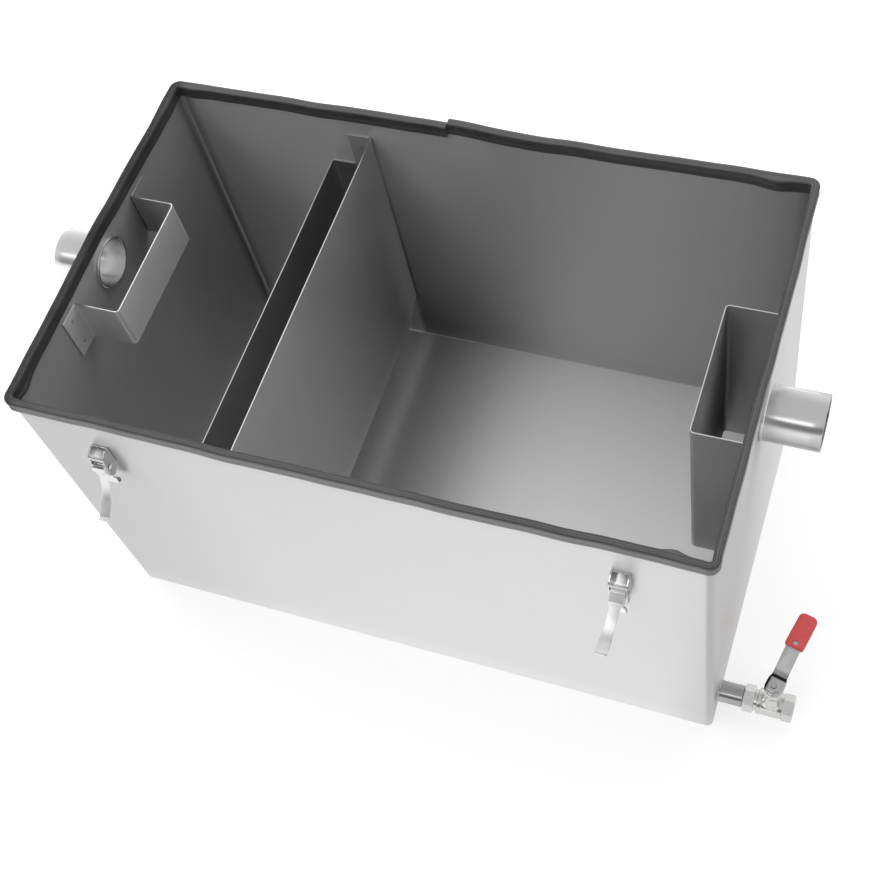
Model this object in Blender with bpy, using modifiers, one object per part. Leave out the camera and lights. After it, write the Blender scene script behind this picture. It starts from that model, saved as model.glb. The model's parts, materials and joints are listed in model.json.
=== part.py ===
import math

import bmesh
import bpy
from mathutils import Vector

# Grease trap: an open stainless steel tank with a weir plate, an underflow plate,
# a deflector box on each pipe, a rubber trim on the rim, a drain ball valve and lid latches.
# Lengths are in metres. X runs from the inlet to the outlet, Y to the back and Z up.
# The origin is the middle of the tank's underside.

# Clearances and facets
fit_gap = 0.0003
running_gap = 0.0004
bend_steps = 4
round_steps = 24

# Tank body
tank_length = 0.600
tank_width = 0.358
wall_height = 0.3585
wall_gauge = 0.0015
wall_bend = 0.006
floor_gauge = 0.0015

# Rim gasket
gasket_crown = 0.0025
gasket_height = 0.0130
gasket_leg = 0.0033
gasket_groove = 0.0005
gasket_joint_x = -0.0255
gasket_joint_gap = 0.0010

# Baffle plates; a size called below is measured down from the walls' top edge
plate_gauge = 0.0012
plate_bend = 0.0022
weir_x = -0.1535
weir_below = 0.0715
channel_width = 0.048
flange_spacing = 0.0014
underflow_below = 0.0305
underflow_bottom = 0.060
corner_rise = 0.019
corner_run = 0.030

# Deflector boxes on the pipes
box_gauge = 0.0012
box_bend = 0.0034
box_width = 0.123
box_depth = 0.0455
box_y = -0.0045
box_below = 0.0170
box_flange = 0.0235
inlet_box_height = 0.0505
outlet_box_height = 0.2035

# Pipe stubs
pipe_radius = 0.0240
pipe_gauge = 0.0020
pipe_y = -0.004
pipe_inside = 0.0030
inlet_below = 0.0375
inlet_reach = 0.042
outlet_below = 0.0685
outlet_reach = 0.049
collar_reach = 0.0004
collar_width = 0.0016
collar_rise = 0.0009

# Drain socket
drain_from_front = 0.0280
drain_z = 0.025
socket_radius = 0.0102
socket_bore = 0.0065
socket_reach = 0.0228
thread_radius = 0.0086
thread_depth = 0.0115
thread_length = 0.0105

# Ball valve
valve_length = 0.0456
hex_flats = 0.0222
hex_length = 0.0102
hex_chamfer = 0.0010
neck_length = 0.0024
neck_radius = 0.0098
body_radius = 0.0121
body_groove = 0.0005
groove_at = 0.0180
cavity_radius = 0.0104
spigot_length = 0.0035
valve_bore = 0.0065
mouth_depth = 0.0080
ball_offset = 0.0255
ball_radius = 0.0092
ball_bore = 0.0060
seat_start = 0.0058
seat_end = 0.0089
seat_mouth = 0.0080
bonnet_radius = 0.0084
bonnet_height = 0.0310
stem_radius = 0.0032
slot_width = 0.0034
slot_depth = 0.0030
packing_flats = 0.0160
packing_height = 0.0080
lever_angle = math.radians(-13.4)
lever_gauge = 0.0025
lever_width = 0.0136
lever_root = 0.0064
lever_root_width = 0.0168
lever_step = 0.0108
lever_run = 0.0260
lever_rise = 0.0115
lever_reach = 0.0715
lever_bend = 0.0028
stem_square = 0.0046
lever_nut_flats = 0.0100
lever_nut_height = 0.0045
lever_nut_thread = 0.0022
sleeve_start = 0.0378
sleeve_end_wall = 0.0012
sleeve_width = 0.0174
sleeve_thickness = 0.0056
sleeve_corner = 0.0050
sleeve_edge = 0.0015
hang_hole_radius = 0.0026
hang_hole_at = 0.0432

# Lid latches
latch_from_end = 0.0710
latch_pivot_below = 0.0645
latch_pivot_out = 0.0095
latch_width = 0.0156
latch_gauge = 0.0012
ear_hole_radius = 0.0018
latch_pin_radius = 0.0015
latch_pin_head = 0.0023
latch_head_height = 0.0008
bridge_radius = 0.0011
bridge_out = 0.0022
bridge_up = 0.0118
cheek_gauge = 0.0010
cheek_radius = 0.0036
tongue_gauge = 0.0012
tongue_width = 0.0088
tongue_end_width = 0.0102
tongue_out = 0.0012
tongue_shoulder = 0.0066
tongue_sweep = 0.0260
root_length = 0.0118
claw_drop = 0.0076
claw_inset = 0.0016
claw_pin_radius = 0.0011
claw_knuckle = 0.0022
claw_neck = 0.0092
claw_width = 0.0128
claw_neck_length = 0.0110
claw_length = 0.0220
claw_hook = 0.0058
claw_bend = 0.0020
latch_names = ("front_left", "front_right", "back_left", "back_right")
latch_open_angles = (22.0, 76.0, 20.0, 20.0)

# Places worked out from the sizes above
inner_x = tank_length / 2 - wall_gauge
inner_y = tank_width / 2 - wall_gauge
rim_z = wall_height + gasket_crown
weir_top = wall_height - weir_below
underflow_top = wall_height - underflow_below
box_top = wall_height - box_below
inlet_box_bottom = box_top - inlet_box_height
outlet_box_bottom = box_top - outlet_box_height
inlet_z = wall_height - inlet_below
outlet_z = wall_height - outlet_below
drain_y = drain_from_front - tank_width / 2
latch_pivot_z = wall_height - latch_pivot_below
latch_x = tank_length / 2 - latch_from_end
underflow_x = weir_x + channel_width
plate_flange = (channel_width - flange_spacing) / 2
cap_start = tank_length / 2 + socket_reach + fit_gap
body_start = cap_start + hex_length + neck_length
valve_end = cap_start + valve_length
ball_x = cap_start + ball_offset
packing_z = drain_z + bonnet_height + fit_gap
lever_z = packing_z + packing_height + fit_gap
lever_pin_z = lever_z + lever_gauge
steel_finish = ("stainless_steel", (0.62, 0.62, 0.62), 1.0, 0.32)
zinc_finish = ("plated_steel", (0.70, 0.70, 0.71), 1.0, 0.25)
valve_finish = ("nickelled_brass", (0.72, 0.72, 0.70), 1.0, 0.30)
rubber_finish = ("black_rubber", (0.045, 0.045, 0.05), 0.0, 0.65)
vinyl_finish = ("red_vinyl", (0.62, 0.04, 0.05), 0.0, 0.40)
seal_finish = ("white_seal", (0.85, 0.85, 0.82), 0.0, 0.50)


def clear_scene():
    for item in list(bpy.data.objects):
        bpy.data.objects.remove(item, do_unlink=True)


def make_collection(name):
    collection = bpy.data.collections.new(name)
    bpy.context.scene.collection.children.link(collection)
    return collection


def get_material(finish):
    """One Principled material for each finish."""
    name, colour, metallic, roughness = finish
    found = bpy.data.materials.get(name)
    if found:
        return found
    material = bpy.data.materials.new(name)
    material.use_nodes = True
    shader = material.node_tree.nodes["Principled BSDF"]
    shader.inputs["Base Color"].default_value = (*colour, 1.0)
    shader.inputs["Metallic"].default_value = metallic
    shader.inputs["Roughness"].default_value = roughness
    return material


def add_object(name, mesh, finish=None):
    """A piece goes in the trap's collection, and a shape without a finish is a cutter."""
    item = bpy.data.objects.new(name, mesh)
    if finish:
        parts.objects.link(item)
        mesh.materials.append(get_material(finish))
    else:
        cutters.objects.link(item)
        item.hide_render = True
        item.display_type = "WIRE"
    return item


def shade_round(item, angle=35):
    item.data.shade_smooth()
    item.data.set_sharp_from_angle(angle=math.radians(angle))


def place(item, location=(0, 0, 0), rotation=(0, 0, 0), parent=None):
    item.location = location
    item.rotation_euler = rotation
    item.parent = parent
    return item


# Rotations that lay a drawing's XY plane in another plane
upright_x = (math.pi / 2, 0, math.pi / 2)
along_x = (0, math.pi / 2, 0)


def rounded_path(corners, radii, closed=False, steps=bend_steps):
    """Points along a path whose inner corners are turned with arcs."""
    path = []
    last = len(corners) - 1
    for index, corner in enumerate(corners):
        here = Vector(corner)
        if radii[index] == 0 or (not closed and index in (0, last)):
            path.append(tuple(here))
            continue
        before = (Vector(corners[index - 1]) - here).normalized()
        after = (Vector(corners[(index + 1) % len(corners)]) - here).normalized()
        half = before.angle(after) / 2
        centre = here + (before + after).normalized() * radii[index] / math.sin(half)
        first = here + before * radii[index] / math.tan(half) - centre
        second = here + after * radii[index] / math.tan(half) - centre
        start = math.atan2(first.y, first.x)
        sweep = (math.atan2(second.y, second.x) - start + math.pi) % (2 * math.pi) - math.pi
        for step in range(steps + 1):
            angle = start + sweep * step / steps
            along = Vector((math.cos(angle), math.sin(angle)))
            path.append(tuple(centre + radii[index] * along))
    return path


def rectangle(half_x, half_y, middle=(0, 0)):
    left, right = middle[0] - half_x, middle[0] + half_x
    low, high = middle[1] - half_y, middle[1] + half_y
    return [(left, low), (right, low), (right, high), (left, high)]


def circle(radius, middle=(0, 0), steps=round_steps):
    turns = [2 * math.pi * step / steps for step in range(steps)]
    return [(middle[0] + radius * math.cos(turn), middle[1] + radius * math.sin(turn)) for turn in turns]


def add_sheet(name, path, low, high, gauge, finish=None, closed=False):
    """A bent sheet: a strip that follows the path in plan, from low to high, given its gauge."""
    count = len(path)
    spans = count if closed else count - 1
    points = [(x, y, z) for x, y in path for z in (low, high)]
    faces = []
    for index in range(spans):
        here, after = 2 * index, 2 * ((index + 1) % count)
        faces.append((here, after, after + 1, here + 1))
    mesh = bpy.data.meshes.new(name)
    mesh.from_pydata(points, [], faces)
    item = add_object(name, mesh, finish)
    solid = item.modifiers.new("Gauge", "SOLIDIFY")
    solid.thickness = gauge
    solid.offset = 0
    solid.use_even_offset = True
    shade_round(item)
    return item


def add_plate(name, outlines, thickness, finish=None):
    """A flat plate from a filled outline; the outlines after the first are its holes."""
    drawing = bpy.data.curves.new(name + "_outline", "CURVE")
    drawing.dimensions = "2D"
    drawing.fill_mode = "BOTH"
    drawing.extrude = thickness / 2
    for outline in outlines:
        spline = drawing.splines.new("POLY")
        spline.points.add(len(outline) - 1)
        for point, (x, y) in zip(spline.points, outline):
            point.co = (x, y, 0, 1)
        spline.use_cyclic_u = True
    return add_from_curve(name, drawing, finish)


def add_from_curve(name, drawing, finish=None):
    """The closed mesh of a filled curve, whose caps are welded on."""
    sketch = bpy.data.objects.new(name + "_sketch", drawing)
    bpy.context.scene.collection.objects.link(sketch)
    evaluated = sketch.evaluated_get(bpy.context.evaluated_depsgraph_get())
    mesh = bpy.data.meshes.new_from_object(evaluated)
    bpy.data.objects.remove(sketch, do_unlink=True)
    shape = bmesh.new()
    shape.from_mesh(mesh)
    bmesh.ops.remove_doubles(shape, verts=shape.verts, dist=0.00001)
    bmesh.ops.recalc_face_normals(shape, faces=shape.faces)
    shape.to_mesh(mesh)
    shape.free()
    mesh.materials.clear()
    item = add_object(name, mesh, finish)
    shade_round(item)
    return item


def add_turned(name, profile, finish=None, ring=False, steps=round_steps):
    """A turned piece: the profile is (radius, height), down its outer side, spun about Z."""
    count = len(profile)
    edges = [(index, index + 1) for index in range(count - 1)]
    if ring:
        edges.append((count - 1, 0))
    mesh = bpy.data.meshes.new(name)
    mesh.from_pydata([(radius, 0, height) for radius, height in profile], edges, [])
    item = add_object(name, mesh, finish)
    spin = item.modifiers.new("Turn", "SCREW")
    spin.steps = steps
    spin.render_steps = steps
    spin.use_merge_vertices = True
    spin.merge_threshold = 0.00001
    spin.use_smooth_shade = True
    return item


def add_cylinder(name, radius, low, high, finish=None, steps=round_steps):
    """A straight rod on its own Z axis, from low to high."""
    mesh = bpy.data.meshes.new(name)
    shape = bmesh.new()
    sizes = {"radius1": radius, "radius2": radius, "depth": high - low}
    bmesh.ops.create_cone(shape, cap_ends=True, segments=steps, **sizes)
    bmesh.ops.translate(shape, verts=shape.verts, vec=(0, 0, (low + high) / 2))
    shape.to_mesh(mesh)
    shape.free()
    item = add_object(name, mesh, finish)
    shade_round(item)
    return item


def add_box(name, low, high, finish=None):
    mesh = bpy.data.meshes.new(name)
    shape = bmesh.new()
    bmesh.ops.create_cube(shape, size=1)
    bmesh.ops.scale(shape, verts=shape.verts, vec=[b - a for a, b in zip(low, high)])
    bmesh.ops.translate(shape, verts=shape.verts, vec=[(a + b) / 2 for a, b in zip(low, high)])
    shape.to_mesh(mesh)
    shape.free()
    return add_object(name, mesh, finish)


def combine(item, other, operation):
    """Cut, join or keep the overlap of a piece with another shape."""
    step = item.modifiers.new(other.name, "BOOLEAN")
    step.operation = operation
    step.object = other
    return item


def cut(item, *others):
    for other in others:
        combine(item, other, "DIFFERENCE")
    return item


def join(item, *others):
    for other in others:
        combine(item, other, "UNION")
    return item


def add_hexagon(name, flats, low, high, chamfer, finish=None):
    """A hexagon bar whose corners are turned down at both ends."""
    corner = flats / 2 / math.cos(math.pi / 6)
    item = add_cylinder(name, corner, low, high, finish, steps=6)
    reach = corner + fit_gap
    drop = chamfer + fit_gap
    profile = [
        (0, high + fit_gap), (flats / 2 - fit_gap, high + fit_gap), (reach, high - drop),
        (reach, low + drop), (flats / 2 - fit_gap, low - fit_gap), (0, low - fit_gap),
    ]
    turned = add_turned(name + "_turned", profile)
    combine(item, turned, "INTERSECT")
    return item, turned


# Tank
def wall_path(inset, bend=wall_bend):
    """The tank's plan outline, moved in from the outer face."""
    half_x = tank_length / 2 - inset
    half_y = tank_width / 2 - inset
    return rounded_path(rectangle(half_x, half_y), [bend - inset] * 4, closed=True)


def make_tank():
    outline = wall_path(wall_gauge / 2)
    walls = add_sheet("tank_walls", outline, 0, wall_height, wall_gauge, steel_finish, closed=True)
    reach = wall_gauge * 2
    holes = (
        ("inlet_hole", pipe_radius, -tank_length / 2, pipe_y, inlet_z),
        ("outlet_hole", pipe_radius, tank_length / 2, pipe_y, outlet_z),
        ("drain_hole", socket_radius, tank_length / 2, drain_y, drain_z),
    )
    for name, radius, x, y, z in holes:
        hole = add_cylinder(name, radius + fit_gap, -reach, reach, steps=round_steps + 8)
        cut(walls, place(hole, (x, y, z), along_x))
    floor_path = wall_path(wall_gauge + fit_gap)
    floor = add_plate("tank_floor", [floor_path], floor_gauge, steel_finish)
    place(floor, (0, 0, floor_gauge / 2))


# Rubber trim on the rim
def gasket_profile():
    """The trim's section about the wall's middle line: two legs, a crown and two shallow grooves."""
    slot = wall_gauge / 2 + fit_gap
    out = slot + gasket_leg
    top = rim_z
    low = rim_z - gasket_height
    ceiling = wall_height + fit_gap
    round_off = gasket_leg * 0.45
    rib = gasket_groove
    half = [
        (slot, ceiling), (slot, low), (slot + gasket_leg * 0.5, low - rib), (out, low + round_off),
        (out, low + gasket_height * 0.36), (out - rib, low + gasket_height * 0.43),
        (out, low + gasket_height * 0.50), (out, top - round_off),
        (out - round_off * 0.4, top - round_off * 0.35), (out - round_off, top),
        (slot * 0.6 + rib, top), (slot * 0.6, top - rib),
    ]
    mirrored = [(-x, y) for x, y in reversed(half)]
    return half + mirrored


def make_gasket():
    """The section is carried round the wall's middle line, from one side of the joint to the other."""
    y = tank_width / 2 - wall_gauge / 2
    x = tank_length / 2 - wall_gauge / 2
    half_gap = gasket_joint_gap / 2
    corners = [
        (gasket_joint_x - half_gap, y), (-x, y), (-x, -y), (x, -y), (x, y), (gasket_joint_x + half_gap, y),
    ]
    bend = wall_bend - wall_gauge / 2
    path = rounded_path(corners, [0, bend, bend, bend, bend, 0], steps=6)
    section = bpy.data.curves.new("gasket_section", "CURVE")
    section.dimensions = "2D"
    outline = gasket_profile()
    spline = section.splines.new("POLY")
    spline.points.add(len(outline) - 1)
    for point, (px, py) in zip(spline.points, outline):
        point.co = (px, py, 0, 1)
    spline.use_cyclic_u = True
    guide = bpy.data.objects.new("gasket_section", section)
    cutters.objects.link(guide)
    guide.hide_render = True
    guide.display_type = "WIRE"
    route = bpy.data.curves.new("gasket_route", "CURVE")
    route.dimensions = "3D"
    route.twist_mode = "Z_UP"
    route.bevel_mode = "OBJECT"
    route.bevel_object = guide
    route.use_fill_caps = True
    run = route.splines.new("POLY")
    run.points.add(len(path) - 1)
    for point, (px, py) in zip(run.points, path):
        point.co = (px, py, 0, 1)
    add_from_curve("rim_gasket", route, rubber_finish)


# Baffles
def channel_path(plate_x, side):
    """A plate across the tank, with a flange on each long wall, turned to the given side."""
    flat = inner_y - fit_gap - plate_gauge / 2
    tip = plate_x + side * plate_flange
    corners = [(tip, flat), (plate_x, flat), (plate_x, -flat), (tip, -flat)]
    return rounded_path(corners, [0, plate_bend, plate_bend, 0])


def make_baffles():
    low = floor_gauge + fit_gap
    add_sheet("weir_plate", channel_path(weir_x, 1), low, weir_top, plate_gauge, steel_finish)
    path = channel_path(underflow_x, -1)
    underflow = add_sheet("underflow_plate", path, underflow_bottom, underflow_top, plate_gauge, steel_finish)
    low_z = underflow_bottom - corner_rise
    outer = inner_y + corner_run
    slope = corner_rise / corner_run
    for side in (-1, 1):
        wedge = [
            (side * (inner_y - corner_run), underflow_bottom), (side * (inner_y - corner_run), low_z),
            (side * outer, low_z), (side * outer, underflow_bottom + (outer - inner_y + corner_run) * slope),
        ]
        corner = add_plate("underflow_corner", [wedge], channel_width * 2)
        cut(underflow, place(corner, (underflow_x, 0, 0), upright_x))


# Deflector boxes
def box_path(wall_side):
    """A hat section in plan: a flange, a side, the front, the other side and the other flange."""
    flat = wall_side * (inner_x - fit_gap - box_gauge / 2)
    front = wall_side * (inner_x - box_depth + box_gauge / 2)
    half = box_width / 2 - box_gauge / 2
    corners = [
        (flat, box_y - half - box_flange), (flat, box_y - half), (front, box_y - half),
        (front, box_y + half), (flat, box_y + half), (flat, box_y + half + box_flange),
    ]
    small = box_gauge * 1.1
    return rounded_path(corners, [0, small, box_bend, box_bend, small, 0])


def make_boxes():
    add_sheet("inlet_box", box_path(-1), inlet_box_bottom, box_top, box_gauge, steel_finish)
    add_sheet("outlet_box", box_path(1), outlet_box_bottom, box_top, box_gauge, steel_finish)


# Pipe stubs
def make_pipe(name, side, height, reach):
    """A straight stub through the end wall, with the raised weld ring of its collar outside."""
    bore = pipe_radius - pipe_gauge
    proud = pipe_radius + collar_rise
    ring = collar_reach
    start = -wall_gauge - pipe_inside
    profile = [
        (pipe_radius, reach), (pipe_radius, ring + collar_width), (proud, ring + collar_width * 0.7),
        (proud, ring + collar_width * 0.3), (pipe_radius, ring), (pipe_radius, start),
        (bore, start), (bore, reach),
    ]
    pipe = add_turned(name, profile, steel_finish, ring=True, steps=round_steps + 8)
    place(pipe, (side * tank_length / 2, pipe_y, height), (0, side * math.pi / 2, 0))


# Drain socket and ball valve
def make_socket():
    """The welded socket, bored for the thread of the valve's cap."""
    start = -wall_gauge - pipe_inside
    end = socket_reach
    profile = [
        (socket_radius, end), (socket_radius, start), (socket_bore, start), (socket_bore, end - thread_depth),
        (thread_radius, end - thread_depth), (thread_radius, end),
    ]
    socket = add_turned("drain_socket", profile, steel_finish, ring=True)
    place(socket, (tank_length / 2, drain_y, drain_z), along_x)


def make_valve_cap():
    """The screwed cap: its thread in the socket, a hexagon, a neck and a spigot that holds the first seat."""
    start = place(bpy.data.objects.new("valve_cap_place", None), (cap_start, drain_y, drain_z), along_x)
    parts.objects.link(start)
    cap, turned = add_hexagon("valve_end_cap", hex_flats, 0, hex_length, hex_chamfer, valve_finish)
    neck = add_cylinder("valve_neck", neck_radius, hex_length / 2, hex_length + neck_length - fit_gap)
    spigot_radius = cavity_radius - fit_gap
    spigot_end = hex_length + neck_length + spigot_length
    spigot = add_cylinder("valve_spigot", spigot_radius, hex_length + neck_length / 2, spigot_end)
    thread = add_cylinder("valve_thread", thread_radius - fit_gap, -thread_length, hex_length / 2)
    hollow = add_cylinder("valve_cap_bore", valve_bore, -thread_length - fit_gap, spigot_end + fit_gap)
    join(cap, neck, spigot, thread)
    cut(cap, hollow)
    for item in (cap, turned, neck, spigot, thread, hollow):
        place(item, parent=start)


def make_valve_body():
    """The cast body: a barrel, a hexagon at the outlet and the upright bonnet for the stem."""
    start = place(bpy.data.objects.new("valve_body_place", None), (body_start, drain_y, drain_z), along_x)
    parts.objects.link(start)
    length = valve_end - body_start
    shoulder = ball_x + seat_end + fit_gap - body_start
    inside_hex = length - hex_length / 2
    waist = body_radius - body_groove
    barrel = [
        (0, inside_hex), (body_radius, inside_hex), (body_radius, groove_at + body_groove),
        (waist, groove_at), (body_radius, groove_at - body_groove), (body_radius, body_groove),
        (waist, 0), (0, 0),
    ]
    body = add_turned("valve_body", barrel, valve_finish)
    end, turned = add_hexagon("valve_body_hex", hex_flats, length - hex_length, length, hex_chamfer)
    chamber = [
        (0, length + fit_gap), (thread_radius, length + fit_gap), (thread_radius, length - mouth_depth),
        (valve_bore, length - mouth_depth), (valve_bore, shoulder), (cavity_radius, shoulder),
        (cavity_radius, -fit_gap), (0, -fit_gap),
    ]
    hollow = add_turned("valve_chamber", chamber)
    bonnet = add_cylinder("valve_bonnet", bonnet_radius, 0, bonnet_height)
    stem_hole = add_cylinder("stem_hole", stem_radius + running_gap, 0, bonnet_height + fit_gap)
    join(body, end, bonnet)
    cut(body, hollow, stem_hole)
    for item in (body, end, turned, hollow):
        place(item, parent=start)
    for item in (bonnet, stem_hole):
        place(item, (ball_x, drain_y, drain_z))


def make_valve_seats():
    profile = [
        (cavity_radius - fit_gap, seat_end), (cavity_radius - fit_gap, seat_start), (seat_mouth, seat_start),
        (ball_bore + fit_gap, seat_end - fit_gap * 5), (ball_bore + fit_gap, seat_end),
    ]
    for name, side in (("valve_seat_inlet", -1), ("valve_seat_outlet", 1)):
        seat = add_turned(name, profile, seal_finish, ring=True)
        place(seat, (ball_x, drain_y, drain_z), (0, side * math.pi / 2, 0))


def make_valve_inside(pivot):
    """The ball, bored along the lever, and the stem whose tongue turns it."""
    mesh = bpy.data.meshes.new("valve_ball")
    shape = bmesh.new()
    bmesh.ops.create_uvsphere(shape, u_segments=round_steps, v_segments=round_steps // 2, radius=ball_radius)
    shape.to_mesh(mesh)
    shape.free()
    ball = add_object("valve_ball", mesh, zinc_finish)
    shade_round(ball)
    bore = add_cylinder("ball_bore", ball_bore, -ball_radius * 1.2, ball_radius * 1.2)
    slot_low = ball_radius - slot_depth
    slot_half = slot_width / 2
    slot_top = ball_radius * 1.1
    slot = add_box("ball_slot", (-slot_half, -ball_radius, slot_low), (slot_half, ball_radius, slot_top))
    cut(ball, bore, slot)
    for item, rotation in ((ball, (0, 0, 0)), (bore, (math.pi / 2, 0, 0)), (slot, (0, 0, 0))):
        place(item, rotation=rotation, parent=pivot)
    shaft_low = ball_radius + fit_gap
    seat_z = lever_z - drain_z
    stem = add_cylinder("valve_stem", stem_radius, shaft_low, seat_z - fit_gap, zinc_finish)
    thin, wide = slot_half - fit_gap, stem_radius * 0.9
    tongue = add_box("stem_tongue", (-thin, -wide, slot_low + fit_gap), (thin, wide, shaft_low * 1.05))
    half = stem_square / 2
    square_top = seat_z + lever_gauge
    square = add_box("stem_square", (-half, -half, seat_z - stem_radius), (half, half, square_top))
    thread_top = square_top + lever_nut_height + fit_gap * 4
    thread = add_cylinder("stem_thread", lever_nut_thread, square_top - lever_gauge / 2, thread_top, steps=16)
    join(stem, tongue, square, thread)
    for item in (stem, tongue, square, thread):
        place(item, parent=pivot)


def make_packing_nut():
    chamfer = hex_chamfer * 0.7
    nut, turned = add_hexagon("packing_nut", packing_flats, 0, packing_height, chamfer, valve_finish)
    hole = add_cylinder("packing_hole", stem_radius + running_gap, -fit_gap, packing_height + fit_gap)
    cut(nut, hole)
    for item in (nut, turned, hole):
        place(item, (ball_x, drain_y, packing_z))


def make_lever(pivot):
    """A cranked flat lever: level on the stem, a step up, then level in its sleeve."""
    middle = lever_gauge / 2
    corners = [
        (-lever_root - fit_gap, middle), (lever_step, middle),
        (lever_step + lever_run, middle + lever_rise), (lever_reach + fit_gap, middle + lever_rise),
    ]
    path = rounded_path(corners, [0, lever_bend, lever_bend, 0])
    root = lever_root_width / 2
    wide = root * 1.1
    lever = add_sheet("valve_lever", path, -wide, wide, lever_gauge, zinc_finish)
    half = lever_width / 2
    plan_corners = [
        (-lever_root, -root), (lever_step * 0.7, -root), (lever_step, -half), (lever_reach, -half),
        (lever_reach, half), (lever_step, half), (lever_step * 0.7, root), (-lever_root, root),
    ]
    plan_bends = [root * 0.6, root * 0.2, root * 0.2, half * 0.6]
    outline = rounded_path(plan_corners, plan_bends + plan_bends[::-1], closed=True)
    square = rectangle(stem_square / 2 + fit_gap, stem_square / 2 + fit_gap)
    hole = circle(hang_hole_radius, (hang_hole_at, 0), steps=16)
    plan = add_plate("lever_plan", [outline, square, hole], lever_rise * 4)
    combine(lever, plan, "INTERSECT")
    height = lever_z - drain_z
    place(lever, (0, 0, height), upright_x, pivot)
    place(plan, (0, 0, height), (0, 0, math.pi / 2), pivot)


def make_sleeve(pivot):
    """The dipped vinyl sleeve on the lever, with a pocket for the strip and the hanging hole."""
    length = lever_reach + fit_gap + sleeve_end_wall - sleeve_start
    half = sleeve_width / 2
    corners = rectangle(length / 2, half, (sleeve_start + length / 2, 0))
    bends = [sleeve_corner * 0.5, sleeve_corner, sleeve_corner, sleeve_corner * 0.5]
    outline = rounded_path(corners, bends, closed=True)
    hole = circle(hang_hole_radius, (hang_hole_at, 0), steps=16)
    sleeve = add_plate("lever_sleeve", [outline, hole], sleeve_thickness, vinyl_finish)
    edge = sleeve.modifiers.new("Edge", "BEVEL")
    edge.width = sleeve_edge
    edge.segments = 3
    edge.limit_method = "ANGLE"
    edge.angle_limit = math.radians(50)
    pocket = add_box(
        "sleeve_pocket",
        (sleeve_start - sleeve_edge, -lever_width / 2 - fit_gap, -lever_gauge / 2 - fit_gap),
        (lever_reach + fit_gap, lever_width / 2 + fit_gap, lever_gauge / 2 + fit_gap))
    cut(sleeve, pocket)
    height = lever_z - drain_z + lever_rise + lever_gauge / 2
    for item in (sleeve, pocket):
        place(item, (0, 0, height), (0, 0, math.pi / 2), pivot)


def make_lever_nut(pivot):
    low = lever_pin_z - drain_z + fit_gap
    chamfer = hex_chamfer * 0.5
    nut, turned = add_hexagon("lever_nut", lever_nut_flats, 0, lever_nut_height, chamfer, zinc_finish)
    top = lever_nut_height + fit_gap
    hole = add_cylinder("lever_nut_hole", lever_nut_thread + fit_gap, -fit_gap, top, steps=16)
    cut(nut, hole)
    for item in (nut, turned, hole):
        place(item, (0, 0, low), parent=pivot)


def make_valve():
    make_socket()
    make_valve_cap()
    make_valve_body()
    make_valve_seats()
    make_packing_nut()
    pivot = bpy.data.objects.new("valve_pivot", None)
    parts.objects.link(pivot)
    place(pivot, (ball_x, drain_y, drain_z), (0, 0, lever_angle))
    make_valve_inside(pivot)
    make_lever(pivot)
    make_sleeve(pivot)
    make_lever_nut(pivot)


# Latches: drawn at the lever's pivot, with the wall at +Y and the lever hanging down
latch_back = latch_pivot_out - fit_gap
ear_inside = latch_width / 2 - latch_gauge
cheek_outside = ear_inside - running_gap
cheek_inside = cheek_outside - cheek_gauge


def make_latch_base(name, frame):
    """A back plate and two rounded ears, tied by a bridge near their tops."""
    plate_z = latch_back - latch_gauge / 2
    ear_top, ear_low = 0.0180, -0.0142
    ear_corners = [
        (plate_z, ear_top - 0.001), (plate_z - 0.0042, ear_top), (-0.0030, 0.0130), (-0.0048, -0.0080),
        (-0.0010, ear_low), (0.0042, -0.0115), (plate_z, -0.0070),
    ]
    ear_bends = [0, 0.002, 0.006, 0.004, 0.0025, 0.004, 0]
    outline = rounded_path(ear_corners, ear_bends, closed=True)
    hole = circle(ear_hole_radius, steps=16)
    base = add_box(
        name + "_base", (-latch_width / 2, latch_back - latch_gauge, -0.0070),
        (latch_width / 2, latch_back, ear_top - 0.001), zinc_finish)
    place(base, parent=frame)
    for side in (-1, 1):
        ear = add_plate(name + "_ear", [outline, hole], latch_gauge)
        join(base, place(ear, (side * (latch_width - latch_gauge) / 2, 0, 0), upright_x, frame))
    reach = latch_width / 2 - latch_gauge / 2
    bridge = add_cylinder(name + "_bridge", bridge_radius, -reach, reach, steps=12)
    join(base, place(bridge, (0, -bridge_out, bridge_up), along_x, frame))


def make_latch_pins(name, frame, lever_frame):
    """The headed pin in the ears, and the plain pin that carries the claw in the lever."""
    face = latch_width / 2 + fit_gap
    profile = [
        (0, face + latch_head_height), (latch_pin_head * 0.7, face + latch_head_height),
        (latch_pin_head, face + latch_head_height * 0.4), (latch_pin_head, face), (latch_pin_radius, face),
        (latch_pin_radius, -face), (latch_pin_head, -face), (latch_pin_head, -face - latch_head_height * 0.4),
        (latch_pin_head * 0.7, -face - latch_head_height), (0, -face - latch_head_height),
    ]
    place(add_turned(name + "_pin", profile, zinc_finish, steps=16), rotation=along_x, parent=frame)
    half = cheek_outside
    pin = add_cylinder(name + "_claw_pin", claw_pin_radius, -half, half, zinc_finish, steps=12)
    place(pin, (0, claw_inset, -claw_drop), along_x, lever_frame)


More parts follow.
